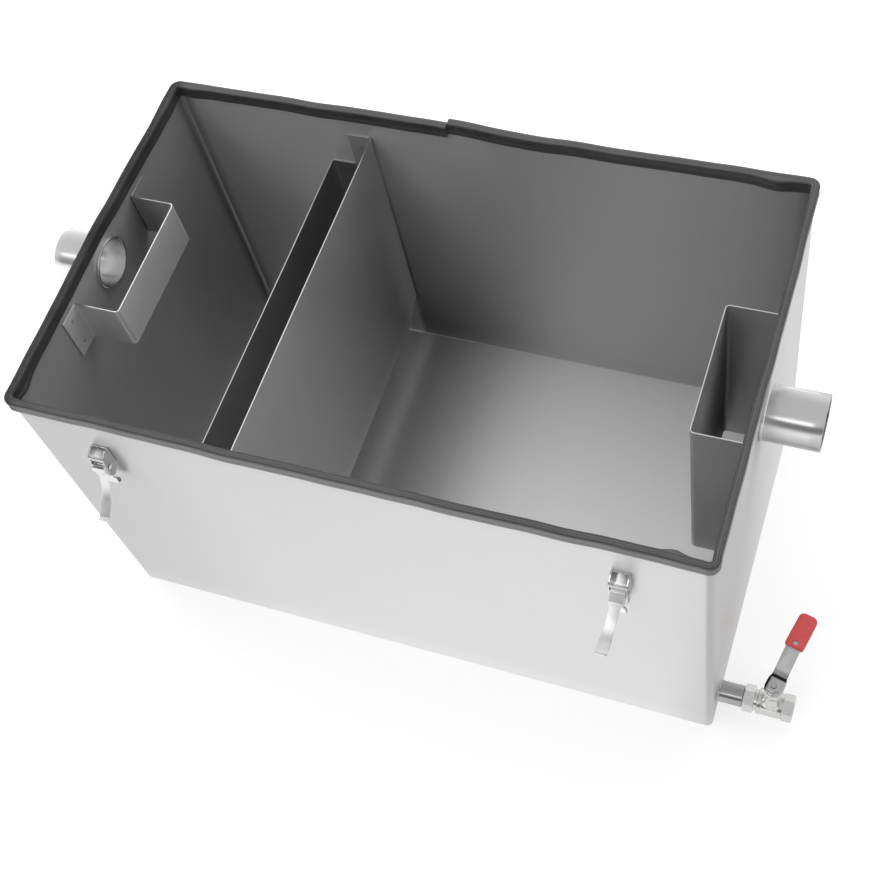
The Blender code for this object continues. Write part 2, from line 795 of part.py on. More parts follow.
def make_latch_lever(name, lever_frame):
    """A strip on two cheeks that hold both pins; it steps in past them, then kicks out to a finger lip."""
    out = -tongue_out
    path_corners = [
        (-tongue_shoulder, 0.0012), (-tongue_shoulder, -0.0024), (out, -0.0098), (out, -0.0366),
        (out - 0.0114, -0.0524), (out - 0.0144, -0.0528),
    ]
    path = rounded_path(path_corners, [0, 0.002, 0.006, tongue_sweep, 0.0014, 0])
    lever = add_sheet(name + "_lever", path, -cheek_outside, cheek_outside, tongue_gauge, zinc_finish)
    place(lever, rotation=upright_x, parent=lever_frame)
    half, end_half = tongue_width / 2, tongue_end_width / 2
    far = 0.080
    for side in (-1, 1):
        edge = [
            (side * half, -root_length), (side * far, -root_length), (side * far, -far),
            (side * end_half, -far), (side * end_half, -0.0420), (side * half, -0.0340),
        ]
        notch = add_plate(name + "_notch", [edge], far)
        cut(lever, place(notch, rotation=(math.pi / 2, 0, 0), parent=lever_frame))
    cheek_corners = [
        (-tongue_shoulder, 0.0012), (-0.0010, 0.0042), (claw_inset + cheek_radius * 0.9, -claw_drop + 0.0008),
        (claw_inset + 0.0005, -claw_drop - cheek_radius), (out, -root_length), (out, -0.0098),
        (-tongue_shoulder, -0.0024),
    ]
    cheek_bends = [0.0004, 0.003, 0.003, 0.003, 0.0004, 0.0004, 0.0004]
    outline = rounded_path(cheek_corners, cheek_bends, closed=True)
    claw_hole = circle(claw_pin_radius + fit_gap, (claw_inset, -claw_drop), 12)
    holes = [circle(ear_hole_radius, steps=16), claw_hole]
    for side in (-1, 1):
        cheek = add_plate(name + "_cheek", [outline] + holes, cheek_gauge)
        join(lever, place(cheek, (side * (cheek_inside + cheek_outside) / 2, 0, 0), upright_x, lever_frame))


def make_latch_claw(name, claw_frame):
    """The strip that hooks over the lid: a knuckle on its pin, a narrow neck and a hooked head."""
    drop = claw_length
    path_corners = [(0, -claw_pin_radius - fit_gap * 2), (0, -drop), (claw_hook, -drop - 0.0006)]
    path = rounded_path(path_corners, [0, claw_bend, 0])
    claw = add_sheet(name + "_claw", path, -claw_width / 2, claw_width / 2, tongue_gauge, zinc_finish)
    place(claw, rotation=upright_x, parent=claw_frame)
    far = 0.040
    for side in (-1, 1):
        inner, outer = sorted((side * claw_neck / 2, side * far))
        notch = add_box(name + "_claw_notch", (inner, -far, -claw_neck_length), (outer, far, far))
        cut(claw, place(notch, parent=claw_frame))
    ring = [circle(claw_knuckle, steps=16), circle(claw_pin_radius + fit_gap, steps=12)]
    knuckle = add_plate(name + "_knuckle", ring, claw_neck - fit_gap)
    join(claw, place(knuckle, rotation=upright_x, parent=claw_frame))


def make_latch(name, x, side, open_angle):
    """side is -1 on the front wall and 1 on the back wall."""
    frame = bpy.data.objects.new(name + "_place", None)
    lever_frame = bpy.data.objects.new(name + "_lever_pivot", None)
    claw_frame = bpy.data.objects.new(name + "_claw_pivot", None)
    for item in (frame, lever_frame, claw_frame):
        parts.objects.link(item)
    turn = 0 if side < 0 else math.pi
    place(frame, (x, side * (tank_width / 2 + latch_pivot_out), latch_pivot_z), (0, 0, turn))
    angle = math.radians(open_angle)
    place(lever_frame, rotation=(-angle, 0, 0), parent=frame)
    place(claw_frame, (0, claw_inset, -claw_drop), (angle, 0, 0), lever_frame)
    make_latch_base(name, frame)
    make_latch_pins(name, frame, lever_frame)
    make_latch_lever(name, lever_frame)
    make_latch_claw(name, claw_frame)


def make_latches():
    for index, name in enumerate(latch_names):
        x = latch_x if index % 2 else -latch_x
        side = -1 if index < 2 else 1
        make_latch("latch_" + name, x, side, latch_open_angles[index])


clear_scene()
parts = make_collection("grease_trap")
cutters = make_collection("cutters")
make_tank()
make_gasket()
make_baffles()
make_boxes()
make_pipe("inlet_pipe", -1, inlet_z, inlet_reach)
make_pipe("outlet_pipe", 1, outlet_z, outlet_reach)
make_valve()
make_latches()
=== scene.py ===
import json
import math

import bpy
import numpy as np
from mathutils import Matrix, Vector

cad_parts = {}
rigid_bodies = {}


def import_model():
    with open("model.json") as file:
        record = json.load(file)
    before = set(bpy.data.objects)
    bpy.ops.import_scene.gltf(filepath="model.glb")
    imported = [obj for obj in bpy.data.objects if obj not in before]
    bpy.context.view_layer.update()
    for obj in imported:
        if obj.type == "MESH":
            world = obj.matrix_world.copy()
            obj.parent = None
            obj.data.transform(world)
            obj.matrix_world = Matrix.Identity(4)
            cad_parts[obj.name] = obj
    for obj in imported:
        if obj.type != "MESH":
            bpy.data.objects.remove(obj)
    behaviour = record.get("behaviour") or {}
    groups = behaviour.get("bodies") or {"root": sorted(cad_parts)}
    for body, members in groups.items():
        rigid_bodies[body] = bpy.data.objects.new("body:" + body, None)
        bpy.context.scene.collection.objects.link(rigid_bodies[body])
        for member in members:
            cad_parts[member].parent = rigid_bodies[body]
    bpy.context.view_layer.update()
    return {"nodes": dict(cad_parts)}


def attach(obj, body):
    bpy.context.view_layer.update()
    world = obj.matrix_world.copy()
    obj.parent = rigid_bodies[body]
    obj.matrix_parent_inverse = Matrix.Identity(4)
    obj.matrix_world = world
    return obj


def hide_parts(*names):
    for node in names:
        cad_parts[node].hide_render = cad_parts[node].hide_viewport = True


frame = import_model()
print("frame loaded:", len(frame["nodes"]), "steel, rubber and brass nodes")

# Grease trap. Lengths are in metres: X runs from the inlet to the outlet, Y to the back wall, Z up.
fullTurn = 2 * math.pi
quarterTurn = math.pi / 2
alongX, alongZ = (1, 0, 0), (0, 0, 1)
seatGap = 0.0003  # between a welded piece and the walls
coarse = 1  # the trim's grid is coarser while trying things


# Materials: a node's inputs are given as values or as another node's output
def plugIn(tree, node, inputs):
    for key, value in inputs.items():
        if isinstance(value, bpy.types.NodeSocket):
            tree.links.new(value, node.inputs[key])
        else:
            node.inputs[key].default_value = value


def addNode(tree, kind, inputs, **settings):
    node = tree.nodes.new("ShaderNode" + kind)
    for key, value in settings.items():
        setattr(node, key, value)
    plugIn(tree, node, inputs)
    return node


def newMaterial(name, metallic):
    material = bpy.data.materials.new(name)
    material.use_nodes = True
    shader = material.node_tree.nodes["Principled BSDF"]
    shader.inputs["Metallic"].default_value = metallic
    return material, material.node_tree, shader


def grey(value):
    return value, value, value, 1


def coordinates(tree, stretch=None, flow=False):
    # the place on the trap, or in the piece's flow map, stretched along each axis
    if flow:
        out = addNode(tree, "UVMap", {}, uv_map="flow").outputs["UV"]
    else:
        out = addNode(tree, "TexCoord", {}).outputs["Object"]
    return addNode(tree, "Mapping", {"Vector": out, "Scale": stretch}).outputs["Vector"] if stretch else out


def split(tree, vector):
    # a vector's X, Y and Z
    return addNode(tree, "SeparateXYZ", {0: vector}).outputs[:]


def noise(tree, vector, scale, steps, rough):
    inputs = {"Vector": vector, "Scale": scale, "Detail": steps, "Roughness": rough}
    return addNode(tree, "TexNoise", inputs).outputs["Fac"]


def spread(tree, value, low, high, start=0.3, end=0.7):
    # goes from low to high while the value goes from start to end
    inputs = {"Value": value, "From Min": start, "From Max": end, "To Min": low, "To Max": high}
    return addNode(tree, "MapRange", inputs).outputs["Result"]


def maths(tree, operation, *values):
    # works through the values from left to right
    result = values[0]
    for value in values[1:]:
        result = addNode(tree, "Math", {0: result, 1: value}, operation=operation).outputs[0]
    return result


def times(tree, *values):
    return maths(tree, "MULTIPLY", *values)


def blendNumbers(tree, factor, first, second):
    return addNode(tree, "Mix", {0: factor, 2: first, 3: second}, data_type="FLOAT").outputs[0]


def blendColours(tree, factor, first, second):
    return addNode(tree, "Mix", {0: factor, 6: first, 7: second}, data_type="RGBA").outputs[2]


def tintedColour(tree, mixed, dark, light, paintedShade):
    # a colour between dark and light, scaled by the piece's painted light and shade where it has any
    colour = blendColours(tree, spread(tree, mixed, 0.0, 1.0), dark, light)
    if paintedShade:
        scaled = addNode(tree, "VectorMath", {0: colour, "Scale": paintedShade(tree)}, operation="SCALE")
        colour = scaled.outputs["Vector"]
    return colour


def addBump(tree, shader, height, distance, before=None):
    bump = addNode(tree, "Bump", {"Strength": 1.0, "Distance": distance, "Height": height})
    if before:
        tree.links.new(before, bump.inputs["Normal"])
    tree.links.new(bump.outputs["Normal"], shader.inputs["Normal"])
    return bump.outputs["Normal"]


# A noise is (scale, steps, roughness)
sheetLook = {
    "dark": grey(0.640),
    "light": grey(0.700),
    "rough": (0.42, 0.50),
    "stretch": 0.85,
    "streaks": (1.0, 4.0, 0.7),
    "clouds": (9.0, 3.0, 0.5),
    "waves": (3.2, 1.0, 0.3),
    "streakShare": 0.62,
    "grainDepth": 0.0000015,
    "waveDepth": 0.0004,
}
floorLook = dict(sheetLook, dark=grey(0.770), light=grey(0.830), rough=(0.46, 0.54))
tubeLook = dict(sheetLook, dark=grey(0.830), light=grey(0.910), rough=(0.20, 0.27), stretch=0.30,
                grainDepth=0.0000008)


def sheetSteel(name, grain, look=sheetLook, paintedShade=None, flow=False, quarter=0.25):
    # satin sheet: fine streaks along the grain, faint clouds and a slight unevenness; a reflection is drawn out
    # across the grain, which runs along the flow map's first direction where quarter is a quarter turn
    material, tree, shader = newMaterial(name, 1.0)
    place = coordinates(tree, flow=flow)
    streaks = noise(tree, coordinates(tree, grain, flow), *look["streaks"])
    clouds, waves = (noise(tree, place, *look[key]) for key in ("clouds", "waves"))
    share = look["streakShare"]
    mixed = maths(tree, "ADD", times(tree, streaks, share), times(tree, clouds, 1 - share))
    tangent = addNode(tree, "Tangent", {}, direction_type="UV_MAP", uv_map="flow")
    plugIn(tree, shader, {
        "Base Color": tintedColour(tree, mixed, look["dark"], look["light"], paintedShade),
        "Roughness": spread(tree, mixed, *look["rough"]),
        "Anisotropic": look["stretch"],
        "Anisotropic Rotation": quarter,
        "Tangent": tangent.outputs["Tangent"],
    })
    rolled = addBump(tree, shader, waves, look["waveDepth"])
    addBump(tree, shader, streaks, look["grainDepth"], rolled)
    return material


# Tones scale a colour to paint light and shade onto a piece. Each is (first value, last value, where it starts, where
# it ends).
wallTone = {
    "half": (0.300, 0.179),
    "bend": 0.0060,
    "middle": 0.00525,
    "corner": (0.62, 1.0, 0.0045, 0.016),
    "along": (1.34, 0.80, -0.25, 0.25),
    "down": (0.86, 1.0, 0.05, 0.30),
    "besidePlate": (1.0, 0.0, -0.10, 0.05),
    "behindPlate": (0.0, 1.0, -0.112, -0.106),
    "nearFloor": (1.0, 0.0, 0.03, 0.27),
    "plateSide": (1.0, 0.38, 0.0, 1.0),
    "leftEnd": (0.62, 1.0, -0.2975, -0.2940),
    "outside": (1.10, 1.21, -0.26, -0.12),
    "rightEnd": (1.09, 1.42, -0.10, 0.10),
    "atRight": (0.0, 1.0, 0.2945, 0.2995),
}


def wallTint(tree):
    # painted light and shade: the outside is painted a little brighter; inside, the welded corners are painted darker
    # and the sheet is painted darker towards the floor
    x, y, z = split(tree, coordinates(tree))
    away, over = [], []
    for value, half in zip((x, y), wallTone["half"]):
        size = maths(tree, "ABSOLUTE", value, 0.0)
        away.append(maths(tree, "SUBTRACT", half, size))
        past = maths(tree, "MAXIMUM", maths(tree, "SUBTRACT", size, half - wallTone["bend"]), 0.0)
        over.append(times(tree, past, past))
    reach = maths(tree, "POWER", maths(tree, "ADD", *over), 0.5)
    inside = maths(tree, "LESS_THAN", reach, wallTone["middle"])
    # painted shade: the back wall is painted darker low down beside the underflow plate
    plateShadeMask = times(tree, spread(tree, x, *wallTone["besidePlate"]), spread(tree, x, *wallTone["behindPlate"]),
                 spread(tree, z, *wallTone["nearFloor"]))
    inner = times(tree, spread(tree, maths(tree, "MAXIMUM", *away), *wallTone["corner"]),
                  spread(tree, x, *wallTone["along"]), spread(tree, z, *wallTone["down"]),
                  spread(tree, plateShadeMask, *wallTone["plateSide"]), spread(tree, x, *wallTone["leftEnd"]))
    # painted light: the right end's outside is painted brighter towards the back
    brighter = maths(tree, "SUBTRACT", spread(tree, y, *wallTone["rightEnd"]), wallTone["outside"][1])
    outer = maths(tree, "ADD", times(tree, brighter, spread(tree, x, *wallTone["atRight"])),
                  spread(tree, x, *wallTone["outside"]))
    return blendNumbers(tree, inside, outer, inner)


floorTone = {
    "inlet": (1.44, 0.91, -0.20, -0.12),
    "rest": (0.0, 0.09, -0.08, 0.10),
}


def floorTint(tree):
    # painted light and shade: the floor sheet is painted paler in the inlet compartment and darker beside the
    # underflow plate
    x = split(tree, coordinates(tree))[0]
    return maths(tree, "ADD", *(spread(tree, x, *floorTone[key]) for key in ("inlet", "rest")))


plateTone = (1.02, 0.76, -0.05, 0.12)


def plateTint(tree):
    # painted shade: the underflow plate is painted darker towards the back
    return spread(tree, split(tree, coordinates(tree))[1], *plateTone)


boxTone = {
    "side": (1.18, 0.0, -0.0655, -0.0625),
    "face": (0.76, 1.24, -0.2582, -0.2576),
    "outlet": (0.85, 0.76, -0.0655, -0.0625),
}


def boxTint(tree):
    # painted shade: the deflector boxes are painted darker inside than out
    x, y, z = split(tree, coordinates(tree))
    inlet = maths(tree, "MAXIMUM", spread(tree, y, *boxTone["side"]), spread(tree, x, *boxTone["face"]))
    atOutlet = maths(tree, "GREATER_THAN", x, 0.0)
    return blendNumbers(tree, atOutlet, inlet, spread(tree, y, *boxTone["outlet"]))


earTone = {
    "middle": 0.229,
    "ear": (1.0, 0.50, 0.0073, 0.0077),
}


def earTint(tree):
    # painted shade: the latch bases are painted darker on the outer sides of their ears
    size = maths(tree, "ABSOLUTE", split(tree, coordinates(tree))[0], 0.0)
    across = maths(tree, "ABSOLUTE", maths(tree, "SUBTRACT", size, earTone["middle"]), 0.0)
    return spread(tree, across, *earTone["ear"])


tubeTone = {
    "bore": (1.0, 0.62, 0.0555, 0.0565),
    "ends": (1.15, 1.0, -0.10, 0.10),
    "low": (0.0, 1.0, 0.288, 0.302),
    "under": (0.60, 1.0, 0.0, 1.0),
}


def tubeTint(tree):
    # painted light and shade: the tubes are painted darker inside, past their mouths along the turned profile, the
    # outlet's is painted darker underneath, and the inlet's is painted a little brighter
    profile = split(tree, coordinates(tree, flow=True))[0]
    x, y, z = split(tree, coordinates(tree))
    under = maths(tree, "MAXIMUM", spread(tree, z, *tubeTone["low"]), maths(tree, "LESS_THAN", x, 0.0))
    return times(tree, spread(tree, profile, *tubeTone["bore"]), spread(tree, x, *tubeTone["ends"]),
                 spread(tree, under, *tubeTone["under"]))


leverShadeBand = {
    "stem": (0.3486, -0.151, 0.0),
    "angle": -13.4,
    "bandStart": (1.0, 0.04, 0.0090, 0.0098),
    "bandEnd": (0.04, 0.55, 0.0120, 0.0128),
    "fade": (0.0, 1.0, 0.0120, 0.0180),
    "atRoot": (1.0, 0.0, 0.0098, 0.0120),
    "leftEdge": (1.0, 0.0, -0.0066, -0.0050),
    "edge": (1.0, 0.04, 0.0, 1.0),
}


def leverTint(tree):
    # painted shade: the lever is painted black in the bend at its root and along the root's left edge
    away = addNode(tree, "VectorMath", {0: coordinates(tree), 1: leverShadeBand["stem"]}, operation="SUBTRACT")
    turn = math.radians(leverShadeBand["angle"])
    along, across = (
        addNode(tree, "VectorMath", {0: away.outputs[0], 1: way}, operation="DOT_PRODUCT").outputs["Value"]
        for way in ((-math.sin(turn), math.cos(turn), 0), (math.cos(turn), math.sin(turn), 0)))
    band = maths(tree, "MAXIMUM", *(spread(tree, along, *leverShadeBand[key]) for key in ("bandStart", "bandEnd", "fade")))
    edge = times(tree, spread(tree, along, *leverShadeBand["atRoot"]), spread(tree, across, *leverShadeBand["leftEdge"]))
    return times(tree, band, spread(tree, edge, *leverShadeBand["edge"]))


def mottled(name, dark, light, rough, grain, depth, paintedShade=None, pits=6.0, metallic=1.0):
    # small parts: a soft mottle, pits that are finer by the given ratio, and a little wear in the shine
    material, tree, shader = newMaterial(name, metallic)
    place = coordinates(tree)
    mottle = noise(tree, place, grain, 3.0, 0.6)
    height = noise(tree, place, grain * pits, 2.0, 0.5) if pits else mottle
    plugIn(tree, shader, {
        "Base Color": tintedColour(tree, mottle, dark, light, paintedShade),
        "Roughness": spread(tree, mottle, *rough),
    })
    addBump(tree, shader, height, depth)
    return material


rubberLook = {
    "black": ((0.038, 0.038, 0.039, 1), (0.070, 0.070, 0.071, 1)),
    "dusty": (grey(0.19), grey(0.25)),
    "rough": (0.34, 0.48),
    "lines": (6, 1400, 1),
    "fromLip": (0.0, 1.0, 0.0105, 0.0120),
    "toShoulder": (1.0, 0.0, 0.0190, 0.0222),
    "worn": (0.22, 1.0, -0.300, -0.286),
    "shine": 0.90,
    "lessShine": 0.12,
}


def rubberMaterial(name):
    # extruded rubber: drawn lines along the strip, matte patches, and a painted sheen, a paler band on the outer leg
    # that stands in for a reflection; the left run loses most of the painted sheen and of the shine
    material, tree, shader = newMaterial(name, 0.0)
    drawn = noise(tree, coordinates(tree, rubberLook["lines"], True), 1.0, 3.0, 0.6)
    place = coordinates(tree)
    bloom = noise(tree, place, 34.0, 4.0, 0.6)
    grit = noise(tree, place, 1500.0, 2.0, 0.5)
    black, dusty = (tintedColour(tree, bloom, *rubberLook[key], None) for key in ("black", "dusty"))
    around = split(tree, coordinates(tree, flow=True))[1]
    worn = spread(tree, split(tree, place)[0], *rubberLook["worn"])
    # painted sheen: a paler band on the outer leg between its lip and shoulder, faded out along the left run
    band = times(tree, spread(tree, around, *rubberLook["fromLip"]),
                 times(tree, spread(tree, around, *rubberLook["toShoulder"]), worn))
    shine = times(tree, worn, rubberLook["shine"])
    plugIn(tree, shader, {
        "Base Color": blendColours(tree, band, black, dusty),
        "Roughness": spread(tree, bloom, *rubberLook["rough"]),
        "Specular IOR Level": maths(tree, "SUBTRACT", shine, rubberLook["lessShine"]),
    })
    rolled = addBump(tree, shader, drawn, 0.00012)
    addBump(tree, shader, grit, 0.00002, rolled)
    return material


plated = ((0.76, 0.76, 0.77, 1), (0.84, 0.84, 0.85, 1), (0.14, 0.22), 160.0, 0.000008)
zinc = ((0.68, 0.68, 0.69, 1), (0.74, 0.74, 0.75, 1), (0.22, 0.28), 160.0)
wallSteel = sheetSteel("wallSteel", (9, 9, 2600), paintedShade=wallTint)
floorSteel = sheetSteel("floorSteel", (9, 2600, 9), floorLook, floorTint)
uprightSteel = sheetSteel("uprightSteel", (2600, 2600, 9), quarter=0.0)
plateSteel = sheetSteel("plateSteel", (9, 9, 2600), paintedShade=plateTint)
boxSteel = sheetSteel("boxSteel", (9, 9, 2600), paintedShade=boxTint)
tubeSteel = sheetSteel("tubeSteel", (2600, 9, 1), tubeLook, tubeTint, True, 0.0)
weldSteel = mottled("weldSteel", grey(0.50), grey(0.66), (0.26, 0.42), 420.0, 0.00006)
latchSteel = mottled("latchSteel", *plated)
earSteel = mottled("earSteel", *plated, earTint)
softSteel = mottled("softSteel", grey(0.88), grey(0.94), (0.36, 0.44), 160.0, 0.000008)
leverSteel = mottled("leverSteel", *zinc, 0.000008)
bentSteel = mottled("bentSteel", *zinc, 0.00001, leverTint, pits=0)
nickel = mottled("nickel", (0.84, 0.84, 0.83, 1), (0.92, 0.92, 0.91, 1), (0.16, 0.26), 140.0, 0.000012)
rubber = rubberMaterial("rubber")
redVinyl = mottled("redVinyl", (0.880, 0.084, 0.084, 1), (0.940, 0.110, 0.108, 1), (0.34, 0.48), 160.0, 0.00006,
                   pits=5.625, metallic=0.0)
sealWhite = mottled("sealWhite", (0.78, 0.78, 0.75, 1), (0.86, 0.86, 0.83, 1), (0.40, 0.55), 300.0, 0.00003,
                    pits=0, metallic=0.0)
print("materials made")


def gridShell(grid, closed=False):
    # A surface p(i, j) given as a rows x columns array of points: one four-sided face between neighbouring rows
    # and columns, wrapped round across the columns. The rows are wrapped too where closed, and capped otherwise.
    # The flow map is the distance along the rows and along the columns.
    rows, cols = grid.shape[:2]
    i = np.arange(rows if closed else rows - 1)[:, None]
    j = np.arange(cols)[None, :]
    row, nextRow, nextCol = i * cols, (i + 1) % rows * cols, (j + 1) % cols
    quads = np.stack(np.broadcast_arrays(row + j, nextRow + j, nextRow + nextCol, row + nextCol), -1)
    u, v = (np.cumsum(np.linalg.norm(np.roll(grid, -1, way) - grid, axis=2).mean(1 - way)) for way in (0, 1))
    u, v = (np.concatenate(([0], distance)) for distance in (u, v))
    flow = np.stack([np.stack(np.broadcast_arrays(u[a], v[b]), -1)
                     for a, b in ((i, j), (i + 1, j), (i + 1, j + 1), (i, j + 1))], 2)
    return {
        "points": grid.reshape(-1, 3),
        "quads": quads.reshape(-1, 4),
        "flow": flow.reshape(-1, 4, 2),
        "caps": [] if closed else [np.arange(cols)[::-1], np.arange(cols) + (rows - 1) * cols],
    }


def surface(x, y, z, closed=False):
    return gridShell(np.stack(np.broadcast_arrays(x, y, z), -1), closed)


def outward(shell):
    # the signed volume of a closed shell is negative when its faces point inwards; then they are turned round
    p = shell["points"] - shell["points"].mean(0)
    a, b, c, d = (p[shell["quads"][:, k]] for k in range(4))
    volume = np.einsum("ij,ij->", a, np.cross(b, c)) + np.einsum("ij,ij->", a, np.cross(c, d))
    for cap in shell["caps"]:
        fan = p[cap]
        volume += np.einsum("j,ij->", fan[0], np.cross(fan[1:-1], fan[2:]))
    if volume < 0:
        shell["quads"] = shell["quads"][:, ::-1]
        shell["flow"] = shell["flow"][:, ::-1]
        shell["caps"] = [cap[::-1] for cap in shell["caps"]]
    return shell


def shadeRound(mesh, sharpAngle=40):
    mesh.shade_smooth()
    mesh.set_sharp_from_angle(angle=math.radians(sharpAngle))


def bevelEdges(piece, width, steps=2, sharpAngle=40):
    shadeRound(piece.data, sharpAngle)
    edge = piece.modifiers.new("edge", "BEVEL")
    edge.width = width
    edge.segments = steps
    edge.limit_method = "ANGLE"
    edge.angle_limit = math.radians(sharpAngle)
    edge.harden_normals = True


def makePiece(name, shells, material, sharpAngle=40, bevel=0.0):
    # joins closed shells in one mesh at the origin, shaded round up to the sharp angle
    points, faces, flow, start = [], [], [], 0
    for shell in map(outward, shells):
        points.append(shell["points"])
        faces += (shell["quads"] + start).tolist()
        flow.append(shell["flow"].reshape(-1, 2))
        for cap in shell["caps"]:
            faces.append((cap + start).tolist())
            flow.append(shell["points"][cap][:, :2])
        start += len(shell["points"])
    mesh = bpy.data.meshes.new(name)
    mesh.from_pydata(np.concatenate(points).tolist(), [], faces)
    layer = mesh.uv_layers.new(name="flow")
    layer.data.foreach_set("uv", np.concatenate(flow).astype(np.float32).ravel())
    mesh.materials.append(material)
    shadeRound(mesh, sharpAngle)
    piece = bpy.data.objects.new(name, mesh)
    bpy.context.scene.collection.objects.link(piece)
    if bevel:
        bevelEdges(piece, bevel, 2, sharpAngle)
    return piece


def cutAway(piece, shells, operation="DIFFERENCE"):
    # cuts closed shells from a piece, or joins them to it, and keeps the finished mesh
    tools = []
    for index, shell in enumerate(shells):
        tool = makePiece(piece.name + "Tool" + str(index), [shell], piece.data.materials[0])
        step = piece.modifiers.new("cut", "BOOLEAN")
        step.operation = operation
        step.object = tool
        step.solver = "EXACT"
        tools.append(tool)
    bpy.context.view_layer.update()
    evaluated = piece.evaluated_get(bpy.context.evaluated_depsgraph_get())
    mesh = bpy.data.meshes.new_from_object(evaluated)
    piece.modifiers.clear()
    piece.data = mesh
    for tool in tools:
        bpy.data.objects.remove(tool, do_unlink=True)


def dress(piece, body, slot, *nodes):
    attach(piece, body)
    if nodes:
        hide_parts(*nodes)


def bentLine(corners, radii, spacing, arcSteps, guard, closed=False):
    # Straight runs joined by arcs: each corner is replaced by an arc that touches both sides, with a guard
    # point just before and after it, and the straight runs are divided to about the spacing.
    corners = np.asarray(corners, float)
    count = len(corners)
    runs = []
    for k in range(count):
        here, radius = corners[k], radii[k]
        if radius == 0:
            runs.append(here[None])
            continue
        before = corners[k - 1] - here
        after = corners[(k + 1) % count] - here
        before, after = before / np.linalg.norm(before), after / np.linalg.norm(after)
        half = math.acos(np.clip(before @ after, -1, 1)) / 2
        middle = (before + after) / np.linalg.norm(before + after)
        centre = here + middle * radius / math.sin(half)
        first = here + before * radius / math.tan(half)
        turn = math.copysign(math.pi - 2 * half, before[1] * after[0] - before[0] * after[1])
        angle = np.linspace(0, turn, arcSteps + 1)
        arm = first - centre
        cos, sin = np.cos(angle), np.sin(angle)
        arc = centre + np.stack((arm[0] * cos - arm[1] * sin, arm[0] * sin + arm[1] * cos), -1)
        runs.append(np.concatenate(([arc[0] + before * guard], arc, [arc[-1] + after * guard])))
    line = [runs[0]]
    for nextRun in runs[1:] + ([runs[0][:1]] if closed else []):
        start, end = line[-1][-1], nextRun[0]
        pieces = max(1, int(round(np.linalg.norm(end - start) / spacing)))
        part = np.linspace(0, 1, pieces + 1)[1:-1, None]
        line += [start + part * (end - start), nextRun]
    return np.concatenate(line[:-1] if closed else line)


def lineSides(line, closed=False):
    # the distance along a flat line, and the unit vector to its right hand at each point, mitred
    if closed:
        ahead, back = np.roll(line, -1, 0), np.roll(line, 1, 0)
    else:
        ahead = np.concatenate((line[1:], line[-1:] * 2 - line[-2:-1]))
        back = np.concatenate((line[:1] * 2 - line[1:2], line[:-1]))
    forward = (ahead - line) / np.linalg.norm(ahead - line, axis=1)[:, None]
    came = (line - back) / np.linalg.norm(line - back, axis=1)[:, None]
    right = np.stack((forward[:, 1] + came[:, 1], -forward[:, 0] - came[:, 0]), -1)
    length = np.linalg.norm(right, axis=1)
    steps = np.linalg.norm(np.diff(line, axis=0), axis=1)
    return np.concatenate(([0], np.cumsum(steps))), right / length[:, None], 2 / length


def beside(line, right, aside):
    # the two coordinates of line(s) + right(s) * aside(s, t)
    return (line[:, None, k] + right[:, None, k] * aside for k in (0, 1))


def sheetSection(gauge, spacing, height):
    # Round a sheet's section as (side, rise), starting at the foot of its right face.
    # The long edges are rounded with small quarter circles.
    half, edge = gauge / 2, gauge * 0.35
    ups = np.linspace(edge, height - edge, max(2, int(round(height / spacing))) + 1)
    turn = np.linspace(0, quarterTurn, 4)[1:]
    right = np.stack((np.full_like(ups, half), ups), -1)
    topRight = np.stack((half - edge + edge * np.cos(turn), height - edge + edge * np.sin(turn)), -1)
    left, topLeft = (part[::-1] * (-1, 1) for part in (right, topRight))
    lowLeft, lowRight = ((0, height) + part[::-1] * (1, -1) for part in (topLeft, topRight))
    return np.concatenate((right, topRight, topLeft, left[1:], lowLeft[1:], lowRight[:-1]))


def bentSheet(line, gauge, low, high, spacing, closed=False, wave=None):
    # An upright bent sheet: its section stands on the flat line and is carried along it.
    # p(s, t) = line(s) + right(s) * side(t) + up * (low(s) + rise(t)), moved sideways by the wave's depth.
    s, right, mitre = lineSides(line, closed)
    low, high = (np.broadcast_to(level, s.shape).astype(float) for level in (low, high))
    height = float((high - low).max())
    section = sheetSection(gauge, spacing, height)
    side = section[:, 0] * mitre[:, None]
    z = low[:, None] + section[:, 1] * ((high - low) / height)[:, None]
    if wave:
        side = side + wave(s[:, None], z)
    return surface(*beside(line, right, side), z, closed)


def roundedSection(halfWide, halfThick, cornerWide, cornerThick, steps):
    # A rounded rectangle at each place along a strip, as (across, thick): the side's sign times the half width
    # less the corner, plus corner * cos(turn), and the same for the thickness with sin(turn).
    turn = (np.linspace(0, quarterTurn, steps + 1) + np.arange(4)[:, None] * quarterTurn).ravel()
    signWide, signThick = (np.repeat(signs, steps + 1) for signs in ((1, -1, -1, 1), (1, 1, -1, -1)))
    across = signWide * (halfWide[:, None] - cornerWide) + cornerWide * np.cos(turn)
    return across, signThick * (halfThick - cornerThick) + cornerThick * np.sin(turn)


def stripShell(line, half, gauge, corner=0.35, mitred=True):
    # A bent strip drawn in the (out, up) plane at the pivot, with its width along X: a rounded section is
    # carried along the line, p(s, t) = line(s) + normal(s) * thick(t), across = the half width at s.
    s, right, mitre = lineSides(line)
    across, thick = roundedSection(half, gauge / 2, gauge * corner, gauge * corner, 3)
    return surface(across, *beside(line, right, thick * mitre[:, None] if mitred else thick))


def plateShell(outline, low, high, edge=0.00014):
    # A flat plate with eased edges: p(i, j) = (across(i), outline(j) + inward(j) * eased(i)).
    s, right, mitre = lineSides(outline, True)
    inward = right * mitre[:, None]
    if np.einsum("ij,ij->", inward, outline.mean(0) - outline) < 0:
        inward = -inward
    eased = np.array((edge, 0, 0, edge))[:, None, None]
    grid = np.empty((4, len(outline), 3))
    grid[..., 0] = np.array((low, low + edge, high - edge, high))[:, None]
    grid[..., 1:] = outline + inward * eased
    return gridShell(grid)


